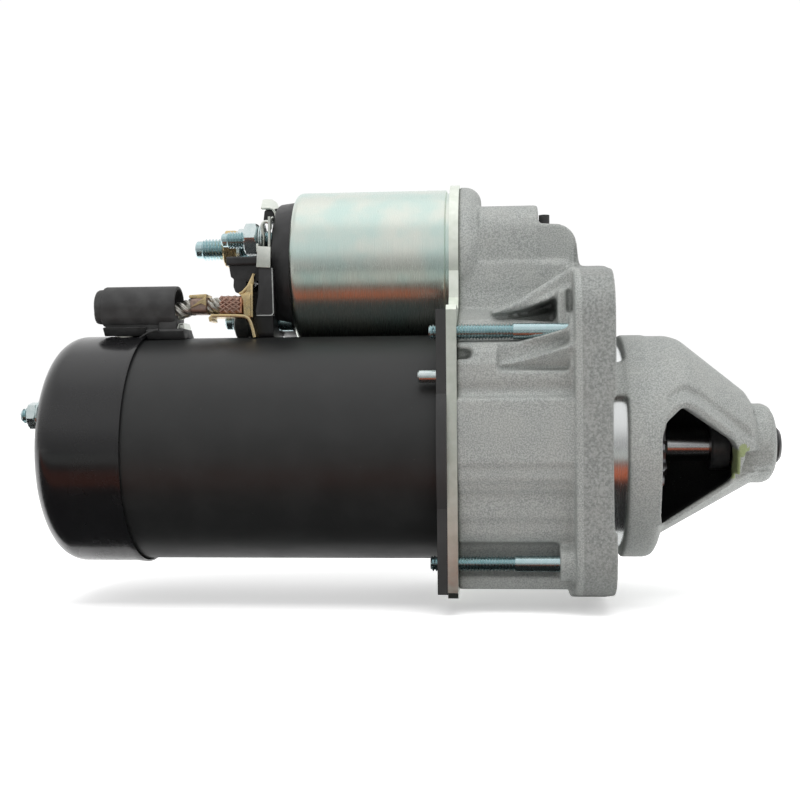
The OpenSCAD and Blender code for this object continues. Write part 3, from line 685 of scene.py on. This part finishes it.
def add_ridges(o):
    """The lip, a wall at the front of the scoop, the two horns and the band round the window."""
    adds = Build()
    lip_shape(adds)
    adds.block((-17.2, -33.0, 36.0), (-14.4, -16.0, 50.4), 0.5)
    horn(adds, -36.0, -12.6, 32.8, 37.9, -33.4, -37.6, 0.4, 1.2, 0.6, 6.4, bend=1.35)
    horn(adds, -36.4, -12.6, 26.3, 32.3, -34.6, -40.2, 0.3, 2.2, 0.6, 7.4, bend=1.25)
    window_lip(adds)
    bm = bmesh.new()
    bm.from_mesh(o.data)
    verts = [bm.verts.new([c * MM for c in v]) for v in adds.verts]
    faces = [bm.faces.new([verts[i] for i in f]) for f in adds.faces]
    bmesh.ops.recalc_face_normals(bm, faces=faces)
    bm.to_mesh(o.data)
    bm.free()


def melt(o):
    """Makes one skin of the crossing shells."""
    voxel = o.modifiers.new("voxel", "REMESH")
    voxel.mode = "VOXEL"
    voxel.voxel_size = 0.66 * MM
    apply_modifiers(o)
    o.data.name = "drive_end_casting"


def soften(mesh):
    """Rounds the edges, keeps the machined rear face flat and roughens the broken-out corner."""
    rear_face = -48.2
    bm = bmesh.new()
    bm.from_mesh(mesh)
    crisp = [v for v in bm.verts if v.co.x < rear_face * MM]
    soft = [v for v in bm.verts if v.co.x >= rear_face * MM]
    for _ in range(3):
        bmesh.ops.smooth_vert(bm, verts=soft, factor=0.5, use_axis_x=True, use_axis_y=True, use_axis_z=True)
    bmesh.ops.smooth_vert(bm, verts=crisp, factor=0.5, use_axis_x=False, use_axis_y=True, use_axis_z=True)
    for v in bm.verts:
        c = v.co / MM
        if 41.0 < c.x < 54.2 and -11.4 < c.z < -1.6 and c.y < -8.5:
            v.co.y += 0.45 * torn(c.x, c.z) * MM
    bm.to_mesh(mesh)
    bm.free()


def torn(x, z):
    """Roughness of the broken-out patch on the nose."""
    return noise.noise(Vector((x * 0.22, 3.1, z * 1.1))) + 0.5 * noise.noise(Vector((x * 0.9, 8.4, z * 2.2)))


def is_inside(p):
    """Whether a face is on the inner surface of the housing."""
    c = p.center / MM
    r = math.hypot(c.y, c.z)
    if c.x < 15:
        return r < 33.4 and c.x > -49.5
    return p.normal.y * c.y + p.normal.z * c.z < 0 and r < 30 - (c.x - 16) * 0.62


def is_flange_edge(p):
    """Whether a face is on the outer edge of the flange."""
    c = p.center / MM
    return -10.5 < c.x < -0.6 and abs(p.normal.x) < 0.6 and math.hypot(c.y, c.z) > 38


def make_housing():
    o = copy_housing()
    cut_pockets(o)
    cut_scoop(o)
    cut_neck(o)
    add_ridges(o)
    melt(o)
    soften(o.data)
    for m in ("cast", "inside", "coarse"):
        o.data.materials.append(MATERIALS[m])
    # Faces inside the housing take the dark copy, which paints the shade inside it.
    for p in o.data.polygons:
        p.use_smooth = True
        p.material_index = 1 if is_inside(p) else 2 if is_flange_edge(p) else 0
    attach(o, "frame")
    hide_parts("drive_end_housing")


make_housing()

# The bright turned band of the pilot, in front of the flange.
b = Build()
b.lathe([(-1.3, 33.0), (-1.3, 34.0), (4.5, 34.0), (4.5, 33.0)], n=160, closed=True)
b.out("turned_neck", "machined", slot="cast_aluminium")

# ---------------------------------------------------------------- motor shell

# The deep drawn cap over the brushes, with a lip that fits over the tube.
b = Build()
b.lathe([(-185.95, 0.2)] + [(-185.95, 12), (-185.95, 26)]
        + arc(-177.4, 30.3, 8.6, 180, 90, 15)
        + [(-170, 38.92), (-160.5, 38.95), (-158.6, 39.1), (-157.2, 39.28), (-156.2, 39.28), (-155.85, 39.15),
           (-155.8, 38.9), (-155.9, 38.6), (-156.8, 38.15), (-159, 38.06), (-175.8, 38.04)]
        + arc(-176.2, 29.8, 8.2, 90, 180, 9)
        + [(-184.5, 9.5), (-179.0, 9.5), (-179.0, 8.0), (-184.7, 8.0), (-184.7, 0.2)], n=160)
b.out("cap_shell", "cap", replaces=["end_cap"], slot="gloss_black", angle=50)

# ---------------------------------------------------------------- solenoid

# Y and Z of the solenoid's axis and of its three terminals.
CAN = (20.0, 63.0)
BATTERY = (31, 72.8)
SWITCH = (6, 72.8)
MOTOR = (9, 44.6)

# The drawn can of the solenoid, rolled over at its rear edge.
b = Build()
b.lathe([(-104.6, 25.1), (-106.4, 25.1), (-106.75, 25.5)]
        + arc(-104.2, 25.2, 2.6, 170, 90, 10)
        + [(-100, 27.8), (-54.2, 27.8), (-53.6, 27.75), (-53.3, 27.5), (-53.2, 26.7), (-52.05, 26.7),
           (-52.05, 9.9), (-58, 9.9), (-58, 25.2), (-104.6, 25.2)], *CAN, n=160, closed=True)
b.out("solenoid_shell", "can", replaces=["solenoid_can"], slot="zinc_can", angle=40)

# The black moulding with the terminals: its disc, the battery collar and three blocks.
b = Build()
b.lathe([(-113.6, 0.2), (-113.6, 22.6), (-113.3, 23.4), (-112.6, 23.9), (-107.2, 24.6), (-103.2, 24.6),
         (-103.2, 20.4), (-110, 20.4), (-110, 0.2)], *CAN, n=128)
b.lathe([(-113.2, 8.0), (-117.0, 8.0), (-117.4, 7.6), (-117.4, 4.05), (-113.0, 4.05)], *BATTERY, n=48)
b.slab(round_outline([(-2, 38.6), (-3, 44), (-3, 54), (3, 57), (18, 56), (20, 50), (19, 40), (14, 37.2),
                      (0, 37.2)], 1.5), -119.6, -112.8, edge=0.4)
b.slab(round_outline([(-116.7, 61.6), (-117.0, 52.0), (-117.9, 46.2), (-117.4, 45.2), (-112.4, 45.2),
                      (-111.9, 45.8), (-112.1, 61.6)], 0.5), -7.4, -2.0, plane="xz", edge=0.35)
b.slab(round_outline([(-118.4, 83.9), (-118.8, 80.2), (-113.0, 79.6), (-113.0, 84.6), (-117.2, 84.6)], 0.6),
       12.0, 19.0, plane="xz", edge=0.4)
b.out("terminal_moulding", "plastic", replaces=["solenoid_cap"], slot="black_plastic", angle=40)

# A pale strip along the right and lower edges of the clip block: a painted highlight.
b = Build()
b.slab([(-112.35, 61.2), (-112.0, 46.0), (-112.5, 45.35), (-117.6, 45.35), (-117.5, 45.05), (-112.3, 45.0),
        (-111.65, 45.9), (-112.0, 61.2)], -7.6, -7.0, plane="xz", edge=0)
b.out("clip_highlight_strip", "edge", slot="black_plastic")

# The ledge between the upper terminals and the lead.
b = Build()
b.slab(round_outline([(-6, 62.6), (-6.2, 65.6), (0, 65.2), (14, 64.6), (34, 63.6), (35, 60.4), (24, 61),
                      (10, 62)], 0.9), -128.2, -113.7, edge=0.6, seg=3)
b.slab(round_outline([(-127.8, 63.2), (-127, 58.6), (-126, 58.0), (-126.2, 55.4), (-125.4, 53.3),
                      (-121.7, 53.3), (-121.7, 57.2), (-113.7, 57.2), (-113.7, 63.2)], 0.5),
       -4.6, 13.4, plane="xz", edge=0.4)
b.out("guard_wall", "plastic", replaces=["terminal_guard"], slot="black_plastic", angle=40)


def washer(b, x0, x1, r, hole, y, z):
    """A flat ring with broken edges."""
    b.lathe([(x0, r - 0.2), (x0 + 0.15, r), (x1 - 0.15, r), (x1, r - 0.2), (x1, hole), (x0, hole)], y, z,
            n=64, closed=True)


def peg(b, x0, x1, r, y, z):
    """A plain round bar along X."""
    b.lathe([(x0, 0.1), (x0, r), (x1, r), (x1, 0.1)], y, z, n=48)


def stud(b, x0, x1, r, pitch, y, z, tip=2.4):
    """A plain dog point at x0 and a thread up to x1."""
    minor = 0.62
    core = r - minor * pitch
    b.lathe([(x0, 0.1), (x0, core - 0.5), (x0 + 0.5, core), (x0 + tip, core), (x0 + tip + 0.2, core - 0.1),
             (x0 + tip + 0.2, 0.1)], y, z, n=48)
    b.thread(x0 + tip, x1, r, pitch, y, z, n=48, chamfer=minor * pitch)


# The battery terminal.
b = Build()
stud(b, -147.8, -118, 4.0, 1.25, *BATTERY)
peg(b, -118, -107.8, 3.9, *BATTERY)
peg(b, -109.9, -107.8, 6.5, *BATTERY)
b.out("battery_bolt", "screw", replaces=["battery_stud"], slot="zinc_screw")

b = Build()
b.hexagon(-136.8, -131.5, 13, *BATTERY, 0, hole=4.02)
b.out("battery_hex", "brass", replaces=["battery_nut"], slot="brass_lug")

b = Build()
washer(b, -131.4, -130.0, 7.6, 4.1, *BATTERY)
b.out("battery_washer", "nut", slot="zinc_screw")

# The switch terminal.
b = Build()
stud(b, -132.4, -113.8, 3.0, 1.0, *SWITCH, tip=2.0)
peg(b, -114.0, -107.8, 2.75, *SWITCH)
peg(b, -109.9, -107.8, 4.4, *SWITCH)
b.out("switch_bolt", "screw", replaces=["second_stud"], slot="zinc_screw")

b = Build()
b.hexagon(-124, -119.1, 10.6, *SWITCH, 0, hole=3.02, cham=0.90)
washer(b, -118.9, -118.2, 4.8, 3.1, *SWITCH)
washer(b, -118.0, -117.2, 5.6, 3.1, *SWITCH)
b.out("switch_hex", "nut", replaces=["second_nut"], slot="zinc_screw")

# The motor terminal, which holds the lead's lug.
b = Build()
stud(b, -131.6, -112, 4.0, 1.25, *MOTOR)
peg(b, -112, -107.8, 3.9, *MOTOR)
b.out("motor_bolt", "screw", replaces=["motor_stud"], slot="zinc_screw")

b = Build()
b.hexagon(-127.8, -122.5, 12.9, *MOTOR, 0, hole=4.02)
washer(b, -122.4, -121.1, 7.4, 4.1, *MOTOR)
b.out("motor_hex", "dark_nut", replaces=["motor_nut"], slot="zinc_screw")

# ---------------------------------------------------------------- fasteners

# Y and Z of the three bolts of the casting and of the two studs of the cap.
BOLTS = [(-32.0, 37.3), (-32.0, -35.6), (32.0, -35.6)]
STUDS = [(-24.6, 11.8), (24.6, -11.8)]

# The bolts that hold the motor to the casting; their threads stand out behind the plate.
b = Build()
for y, z in BOLTS:
    b.thread(-57.6, -31.0, 2.5, 1.0, y, z, front_chamfer=False)
    b.lathe([(-31.2, 0.1), (-31.2, 2.4), (-30.8, 2.49), (-4.8, 2.49), (-4.8, 0.1)], y, z, n=48)
    b.hexagon(-4.9, -1.0, 8, y, z, 10, both=False)
b.out("frame_bolts", "screw", replaces=["housing_bolts"], slot="zinc_screw")

# The studs of the cap and their nuts.
b = Build()
for y, z in STUDS:
    b.thread(-192.7, -186, 2.5, 1.0, y, z)
    b.lathe([(-186, 0.1), (-186, 2.45), (-176.8, 2.45), (-176.8, 3.2), (-174.6, 3.2), (-174.6, 0.1)], y, z,
            n=48)
b.out("cap_studs", "screw", replaces=["rear_studs"], slot="zinc_screw")

b = Build()
for y, z in STUDS:
    b.hexagon(-190.2, -186.9, 8, y, z, 12, hole=2.52)
    washer(b, -186.8, -186.0, 4.9, 2.6, y, z)
b.out("cap_nuts", "nut", replaces=["rear_nuts"], slot="zinc_screw")

# ---------------------------------------------------------------- tabs


def strip(b, path, width, thick, y0):
    """A bent metal strip: path in X and Z, spread along Y from y0."""
    pts = [Vector((p[0], 0, p[1])) for p in path]
    rim = 0.15
    y1 = y0 + width
    rings = []
    for i, p in enumerate(pts):
        d = (pts[min(i + 1, len(pts) - 1)] - pts[max(i - 1, 0)]).normalized()
        across = Vector((-d.z, 0, d.x)) * (thick / 2)
        ring = []
        for side, y in ((1, y0 + rim), (1, y1 - rim), (0.5, y1), (-0.5, y1),
                        (-1, y1 - rim), (-1, y0 + rim), (-0.5, y0), (0.5, y0)):
            ring.append((p.x + across.x * side, y, p.z + across.z * side))
        rings.append(ring)
    b.rings(rings)


def tilted(b, stations, thick):
    """A metal strip through pairs of edge points."""
    rings = []
    for i, (p, q) in enumerate(stations):
        p, q = Vector(p), Vector(q)
        a = stations[max(i - 1, 0)]
        c = stations[min(i + 1, len(stations) - 1)]
        run = (Vector(c[0]) + Vector(c[1]) - Vector(a[0]) - Vector(a[1])).normalized()
        across = run.cross((q - p).normalized()) * (thick / 2)
        rim = (q - p).normalized() * 0.15
        rings.append([p + across + rim, q + across - rim, q + across * 0.4, q - across * 0.4,
                      q - across - rim, p - across + rim, p - across * 0.4, p + across * 0.4])
    b.rings(rings)


# The folded spade tab at the top of the moulding.
b = Build()
tilted(b, [((-119.6, 11.4, 84.6), (-119.8, 15.6, 88.2)), ((-118.9, 11.0, 84.4), (-119.0, 16.8, 88.6)),
           ((-116.4, 11.0, 84.4), (-116.4, 17.1, 88.5)), ((-115.2, 11.0, 84.1), (-115.0, 17.2, 87.4)),
           ((-114.5, 11.0, 83.2), (-114.2, 17.2, 85.6)), ((-114.1, 11.0, 81.6), (-113.9, 17.0, 83.0)),
           ((-114.0, 10.6, 79.6), (-113.9, 16.4, 80.0)), ((-114.0, 10.0, 78.1), (-113.9, 15.4, 77.9))], 0.8)
strip(b, [(-114.0, 79.6), (-114.05, 70), (-114.05, 60)], 1.6, 0.8, -2.6)
tilted(b, [((-114.0, 9.8, 79.4), (-114.0, 12.0, 78.6)), ((-114.0, 4.0, 80.6), (-114.0, 4.6, 78.9)),
           ((-114.0, -0.8, 79.2), (-114.0, 0.6, 78.0)), ((-114.0, -2.6, 76.4), (-114.0, -1.0, 76.0))], 0.8)
b.out("spade_blade", "tab", replaces=["spade_tab"], slot="zinc_plate")

# The square tab with its hook.
b = Build()
b.slab(round_outline([(-117.5, 61.6), (-117.0, 68.7), (-112.5, 68.4), (-112.7, 61.3)], 0.25, 3),
       -8.0, -7.1, plane="xz", edge=0.15)
b.block((-117.5, -7.9, 66.6), (-116.7, 3.0, 69.6), 0.2)
hook = [(-116.9, 2.2, 70.0), (-116.6, 1.2, 73.6)]
for i in range(9):
    a = math.radians(200 - 250 * i / 8)
    hook.append((-115.6 + 1.5 * math.cos(a), 0.6, 76.6 + 1.7 * math.sin(a)))
b.tube(hook, 0.62, n=10)
b.out("square_blade", "tab", replaces=["square_tab"], slot="zinc_plate")

# ---------------------------------------------------------------- field lead

# Y of the lead, Z of the grommet's middle and Z of the welded end's middle.
LEAD_Y = -3.0
GROMMET_Z = 49.4
WELD_Z = 48.9


def scaled(outline, x, k, z):
    """An outline of Y and Z points placed at x, k times as large about the lead at height z."""
    return [(x, LEAD_Y + (p[0] - LEAD_Y) * k, z + (p[1] - z) * k) for p in outline]


def saddle(r, shift=0.0):
    """Y and Z points on the top of a round body."""
    turns = [math.radians(79 + 22 * i / 12) for i in range(13)]
    return [(r * math.cos(t) + shift, r * math.sin(t)) for t in turns]


def grommet_outline():
    """A round top on a narrower foot."""
    points = []
    for i in range(21):
        a = math.radians(-22 + 224 * i / 20)
        points.append((LEAD_Y + 6.8 * math.cos(a), GROMMET_Z - 0.2 + 6.8 * math.sin(a)))
    foot = [(6.2, 45.0), (5.3, 43.0), (3.6, 42.0)]
    points += [(LEAD_Y - y, z) for y, z in foot]
    return points + [(LEAD_Y + y, z) for y, z in reversed(foot)]


# The rubber grommet: an open mouth in front, a saddle on the cap, one on the tube and a fold.
b = Build()
outer = ((-174.2, 0.72), (-173.9, 0.80), (-173.3, 0.85), (-171.6, 0.87), (-171.4, 0.90), (-171.2, 0.965),
         (-170.6, 1.0), (-160.0, 1.0), (-147.0, 1.0), (-146.0, 0.99), (-145.6, 0.965), (-145.45, 0.92))
mouth = ((-145.6, 0.85), (-146.2, 0.82), (-166.0, 0.80))
b.rings([scaled(grommet_outline(), x, k, GROMMET_Z) for x, k in outer + mouth])
b.slab(saddle(39.38, 0.2) + [(-9.6, 41.4), (-7.8, 41.8), (1.8, 41.8), (3.6, 41.4)], -170.6, -155.9, edge=0.25)
b.slab(saddle(38.08) + [(-9.2, 40.2), (-8.4, 41.0), (2.4, 41.0), (3.2, 40.2)], -155.7, -142.6, edge=0.25)
b.block((-151.5, LEAD_Y - 5.4, 40.2), (-145.2, LEAD_Y + 5.4, 45.6), 0.6, 3)
b.block((-170.4, LEAD_Y - 4.4, 40.4), (-150.5, LEAD_Y + 4.4, 43.2), 0.3)
fold = []
for i in range(9):
    t = i / 8
    fold.append((-157.6 + 6.4 * t, -9.7 + 0.5 * t, 37.9 + 2.6 * math.sin(t * math.pi / 2)))
b.tube(fold, [0.25 + 0.35 * (i / 8) for i in range(9)], n=10)
b.out("lead_grommet", "rubber", replaces=["grommet"], slot="rubber", angle=40)

# The strap that holds the grommet down.
b = Build()
strip(b, [(-145.6, 39.4), (-145.3, 40.6), (-144.9, 41.4), (-144.5, 42.6), (-143.2, 42.8), (-142.9, 41.6),
          (-143.2, 39.0)], 9.0, 0.5, LEAD_Y - 4.5)
b.out("strap_clip", "tab", replaces=["grommet_strap"], slot="zinc_plate")


def rope(b, x0, x1, big, small, turns, y0, heights, fine=0.42, start=0.0):
    """A thick strand of twisted wires that winds round the lead, whose middle follows the heights."""
    wires = 9
    for j in range(wires):
        path = []
        for i in range(49):
            t = i / 48
            x = x0 + (x1 - x0) * t
            a = start + turns * 2 * math.pi * t
            w = 2 * math.pi * j / wires + t * 7.0
            rr = small * (0.62 if j else 0.0)
            path.append((x, y0 + big * math.cos(a) + rr * math.cos(w),
                         on_line(heights, x) + big * math.sin(a) + rr * math.sin(w)))
        b.tube(path, fine if j else small * 0.66, n=8)


# The lead: five ropes up to the crimp, six from there to the weld, and a tail down into the motor.
b = Build()
sag = [(-170, 48.6), (-152, 47.4), (-147, 46.9), (-144, 47.5), (-141.4, 48.6), (-139, 49.0), (-120, 49.0)]
for k in range(5):
    rope(b, -165.0, -139.4, 1.9, 1.4, 2.2, LEAD_Y - 0.9, sag, start=2 * math.pi * k / 5)
for k in range(6):
    rope(b, -136.0, -129.8, 2.0, 1.05, 0.45, LEAD_Y, [(-140, WELD_Z), (-120, WELD_Z)], fine=0.34,
         start=2 * math.pi * k / 6)
tail = [(-164, 48.4), (-164.3, 46.4), (-164, 42), (-164, 34), (-164, 30.2)]
b.tube([(x, LEAD_Y, z) for x, z in tail], 3.8, n=24)
b.out("lead_braid", "strand", replaces=["field_lead"], slot="tinned_braid")

# The crimp round the lead and its folded edge; the sleeve's dark brown tone is painted shade, and the fold
# keeps the brass colour.
b = Build()
sleeve = round_outline([(LEAD_Y - 4.4, WELD_Z - 2.9), (LEAD_Y + 4.4, WELD_Z - 2.9),
                        (LEAD_Y + 4.4, WELD_Z + 3.1), (LEAD_Y - 4.4, WELD_Z + 3.1)], 2.2, 6)
stations = ((-140.8, 0.80), (-140.6, 0.93), (-140.0, 0.99), (-138.0, 1.0), (-135.8, 1.01), (-135.2, 0.98),
            (-135.0, 0.84))
b.rings([scaled(sleeve, x, k, WELD_Z) for x, k in stations])
b.out("crimp_sleeve", "shaded_crimp", replaces=["lead_crimp"], slot="brass_lug")

b = Build()
b.slab(round_outline([(-141.2, 51.6), (-141.0, 52.5), (-135.0, 52.8), (-134.9, 51.5), (-137.8, 51.4)], 0.3),
       LEAD_Y - 4.0, LEAD_Y + 4.0, plane="xz", edge=0.25)
b.slab(round_outline([(-140.6, 48.0), (-135.0, 52.0), (-135.0, 48.6), (-136.6, 49.6)], 0.4),
       LEAD_Y - 4.85, LEAD_Y - 4.2, plane="xz", edge=0.2)
b.out("crimp_fold", "brass", slot="brass_lug")

# The welded end of the lead: a block under crossing wires, and its cut face.
b = Build()
b.block((-130.2, LEAD_Y - 3.7, WELD_Z - 2.8), (-123.4, LEAD_Y + 3.5, WELD_Z + 2.8), 0.9, 3)
for k in range(26):
    sense = 1 if k % 2 else -1
    path = []
    for i in range(41):
        t = i / 40
        a = 2 * math.pi * (k // 2) / 13 + sense * t * 1.5
        ca, sa = math.cos(a), math.sin(a)
        m = (abs(ca) ** 5 + abs(sa) ** 5) ** -0.2
        lift = 0.15 * math.sin(6.5 * a + k * 1.57 + t * 9.0)
        path.append((-130.4 + 7.0 * t, LEAD_Y - 0.1 + (3.7 + lift) * m * ca, WELD_Z + (2.85 + lift) * m * sa))
    b.tube(path, 0.46, n=8)
b.out("weld_block", "strand_copper", slot="brass_lug")

b = Build()
b.block((-123.6, LEAD_Y - 3.8, WELD_Z - 2.9), (-122.8, LEAD_Y + 3.6, WELD_Z + 2.9), 0.35)
b.out("weld_end", "copper", slot="brass_lug")

# The lug: a foot under the lead, the plate on the motor terminal and the bent arm.
b = Build()
strip(b, [(-133.5, 43.4), (-133.8, 44.6), (-133.2, 45.3), (-129, 45.3), (-124.6, 45.2), (-121.8, 45.0),
          (-120.6, 44.3), (-119.8, 43.0), (-119.1, 40.8), (-118.4, 37.8)], 8.6, 1.0, LEAD_Y - 4.4)
b.slab(round_outline([(LEAD_Y - 4.2, 43.8), (LEAD_Y - 4.4, 52.8), (LEAD_Y + 2.0, 57.6), (LEAD_Y + 8, 52.4),
                      (17.4, 46.6), (14, 38.6), (6, 36.6), (1.0, 40.6)], 2.0), -121.0, -119.7, edge=0.3)
b.block((-119.7, LEAD_Y - 4.3, 44.6), (-118.9, LEAD_Y - 3.0, 56.0), 0.15)
b.slab([(-123.2, 52.4), (-120.2, 53.4), (-120.2, 45.0), (-122.0, 44.8), (-122.2, 50.2)],
       LEAD_Y - 4.3, LEAD_Y - 3.6, plane="xz", edge=0.12)
tilted(b, [((-123.6, LEAD_Y - 4.2, 52.6), (-123.2, LEAD_Y + 1.0, 53.2)),
           ((-122.4, LEAD_Y - 4.2, 53.2), (-122.2, LEAD_Y + 1.2, 54.0)),
           ((-120.6, LEAD_Y - 3.6, 55.4), (-120.4, LEAD_Y + 1.8, 56.2)),
           ((-118.8, LEAD_Y - 2.6, 59.6), (-118.4, LEAD_Y + 2.2, 60.2))], 0.9)
b.slab([(-122.6, 52.8), (-121.0, 54.6), (-119.8, 57.0), (-118.8, 59.8), (-118.6, 57.0), (-119.4, 52.8)],
       LEAD_Y - 3.6, LEAD_Y - 2.9, plane="xz", edge=0.1)
b.out("lug_plate", "brass", replaces=["lead_lug"], slot="brass_lug")

# ---------------------------------------------------------------- floor, light, camera

FLOOR_Z = -0.0515
CARD_Z = -0.05147


def sheet(name, x, y, z):
    """A level rectangle in metres, between two X and two Y values."""
    mesh = bpy.data.meshes.new(name)
    mesh.from_pydata([(x[0], y[0], z), (x[1], y[0], z), (x[1], y[1], z), (x[0], y[1], z)], [], [(0, 1, 2, 3)])
    return add_object(name, mesh)


floor = sheet("floor", (-6, 6), (-6, 6), FLOOR_Z)
look = Shader("pale_floor")
look.set(color=(0.90, 0.90, 0.90), rough=0.55, spec=0.1, emit=0.38)
look.bsdf.inputs["Emission Color"].default_value = (1.0, 1.0, 1.0, 1.0)
floor.data.materials.append(look.mat)

# A card in front of the motor that only its reflections show: grey far out, then dark, rust red and black.
flag = sheet("flag", (-2, 2), (-4, -0.012), CARD_Z)
flag.visible_camera = False
flag.visible_diffuse = False
flag.visible_shadow = False
look = Shader("flag_card")
out = look.axis(1)
tone = look.mix(look.ramp(out, -1.00, -0.90), (0.14, 0.14, 0.14), (0.50, 0.53, 0.51))
tone = look.mix(look.ramp(out, -0.24, -0.23), tone, (0.10, 0.085, 0.08))
tone = look.mix(look.ramp(out, -0.168, -0.150), tone, (0.42, 0.11, 0.055))
tone = look.mix(look.ramp(out, -0.094, -0.090), tone, (0.02, 0.02, 0.02))
look.set(color=(0.0, 0.0, 0.0), rough=1.0, spec=0.0, emit=1.0)
look.link(tone, look.bsdf.inputs["Emission Color"])
flag.data.materials.append(look.mat)

# The surroundings are bright behind and above, and paler in front.
world = bpy.data.worlds.new("studio")
bpy.context.scene.world = world
world.use_nodes = True
sky = Nodes(world.node_tree, "Generated")
behind = sky.ramp(sky.axis(1), 0.05, 0.45, 0.0, 1.02)
front = sky.ramp(sky.axis(2), 0.05, 0.45, 0.40, 0.84)
above = sky.ramp(sky.axis(2), 0.55, 0.97, 0.0, 1.15)
background = world.node_tree.nodes["Background"]
background.inputs["Color"].default_value = (1.0, 1.0, 1.0, 1.0)
sky.link(sky.maths("MAXIMUM", behind, sky.maths("MAXIMUM", front, above)), background.inputs["Strength"])


def softbox(name, place, aim, size, power):
    """A white lamp, in metres and watts, that no reflection shows."""
    data = bpy.data.lights.new(name, "AREA")
    data.shape = "RECTANGLE"
    data.size, data.size_y = size
    data.energy = power
    o = bpy.data.objects.new(name, data)
    o.location = place
    o.rotation_mode = "QUATERNION"
    o.rotation_quaternion = (Vector(aim) - Vector(place)).to_track_quat("-Z", "Y")
    o.visible_glossy = False
    bpy.context.scene.collection.objects.link(o)


softbox("top_box", (-0.03, -0.26, 0.66), (-0.05, 0, 0.02), (0.9, 0.40), 4.2)
softbox("left_box", (-0.75, -0.20, 0.25), (-0.08, 0, 0.02), (0.25, 0.6), 0.5)
softbox("right_box", (0.70, -0.25, 0.20), (0.0, 0, 0.02), (0.25, 0.6), 0.5)

CAMERA = (-0.0376, -0.402, 0.016)
YAW = math.atan(93 / 1174)
ROLL = -0.008

lens = bpy.data.cameras.new("camera")
lens.sensor_width = 36.0
lens.lens = 52.83
lens.clip_start = 0.02
lens.clip_end = 50
cam = add_object("camera", lens)
upright = Matrix.Rotation(math.pi / 2, 4, "X")
turn = Matrix.Rotation(YAW, 4, "Z") @ upright @ Matrix.Rotation(ROLL, 4, "Z")
cam.matrix_world = Matrix.Translation(CAMERA) @ turn
bpy.context.scene.camera = cam
bpy.context.scene.view_settings.view_transform = "Standard"
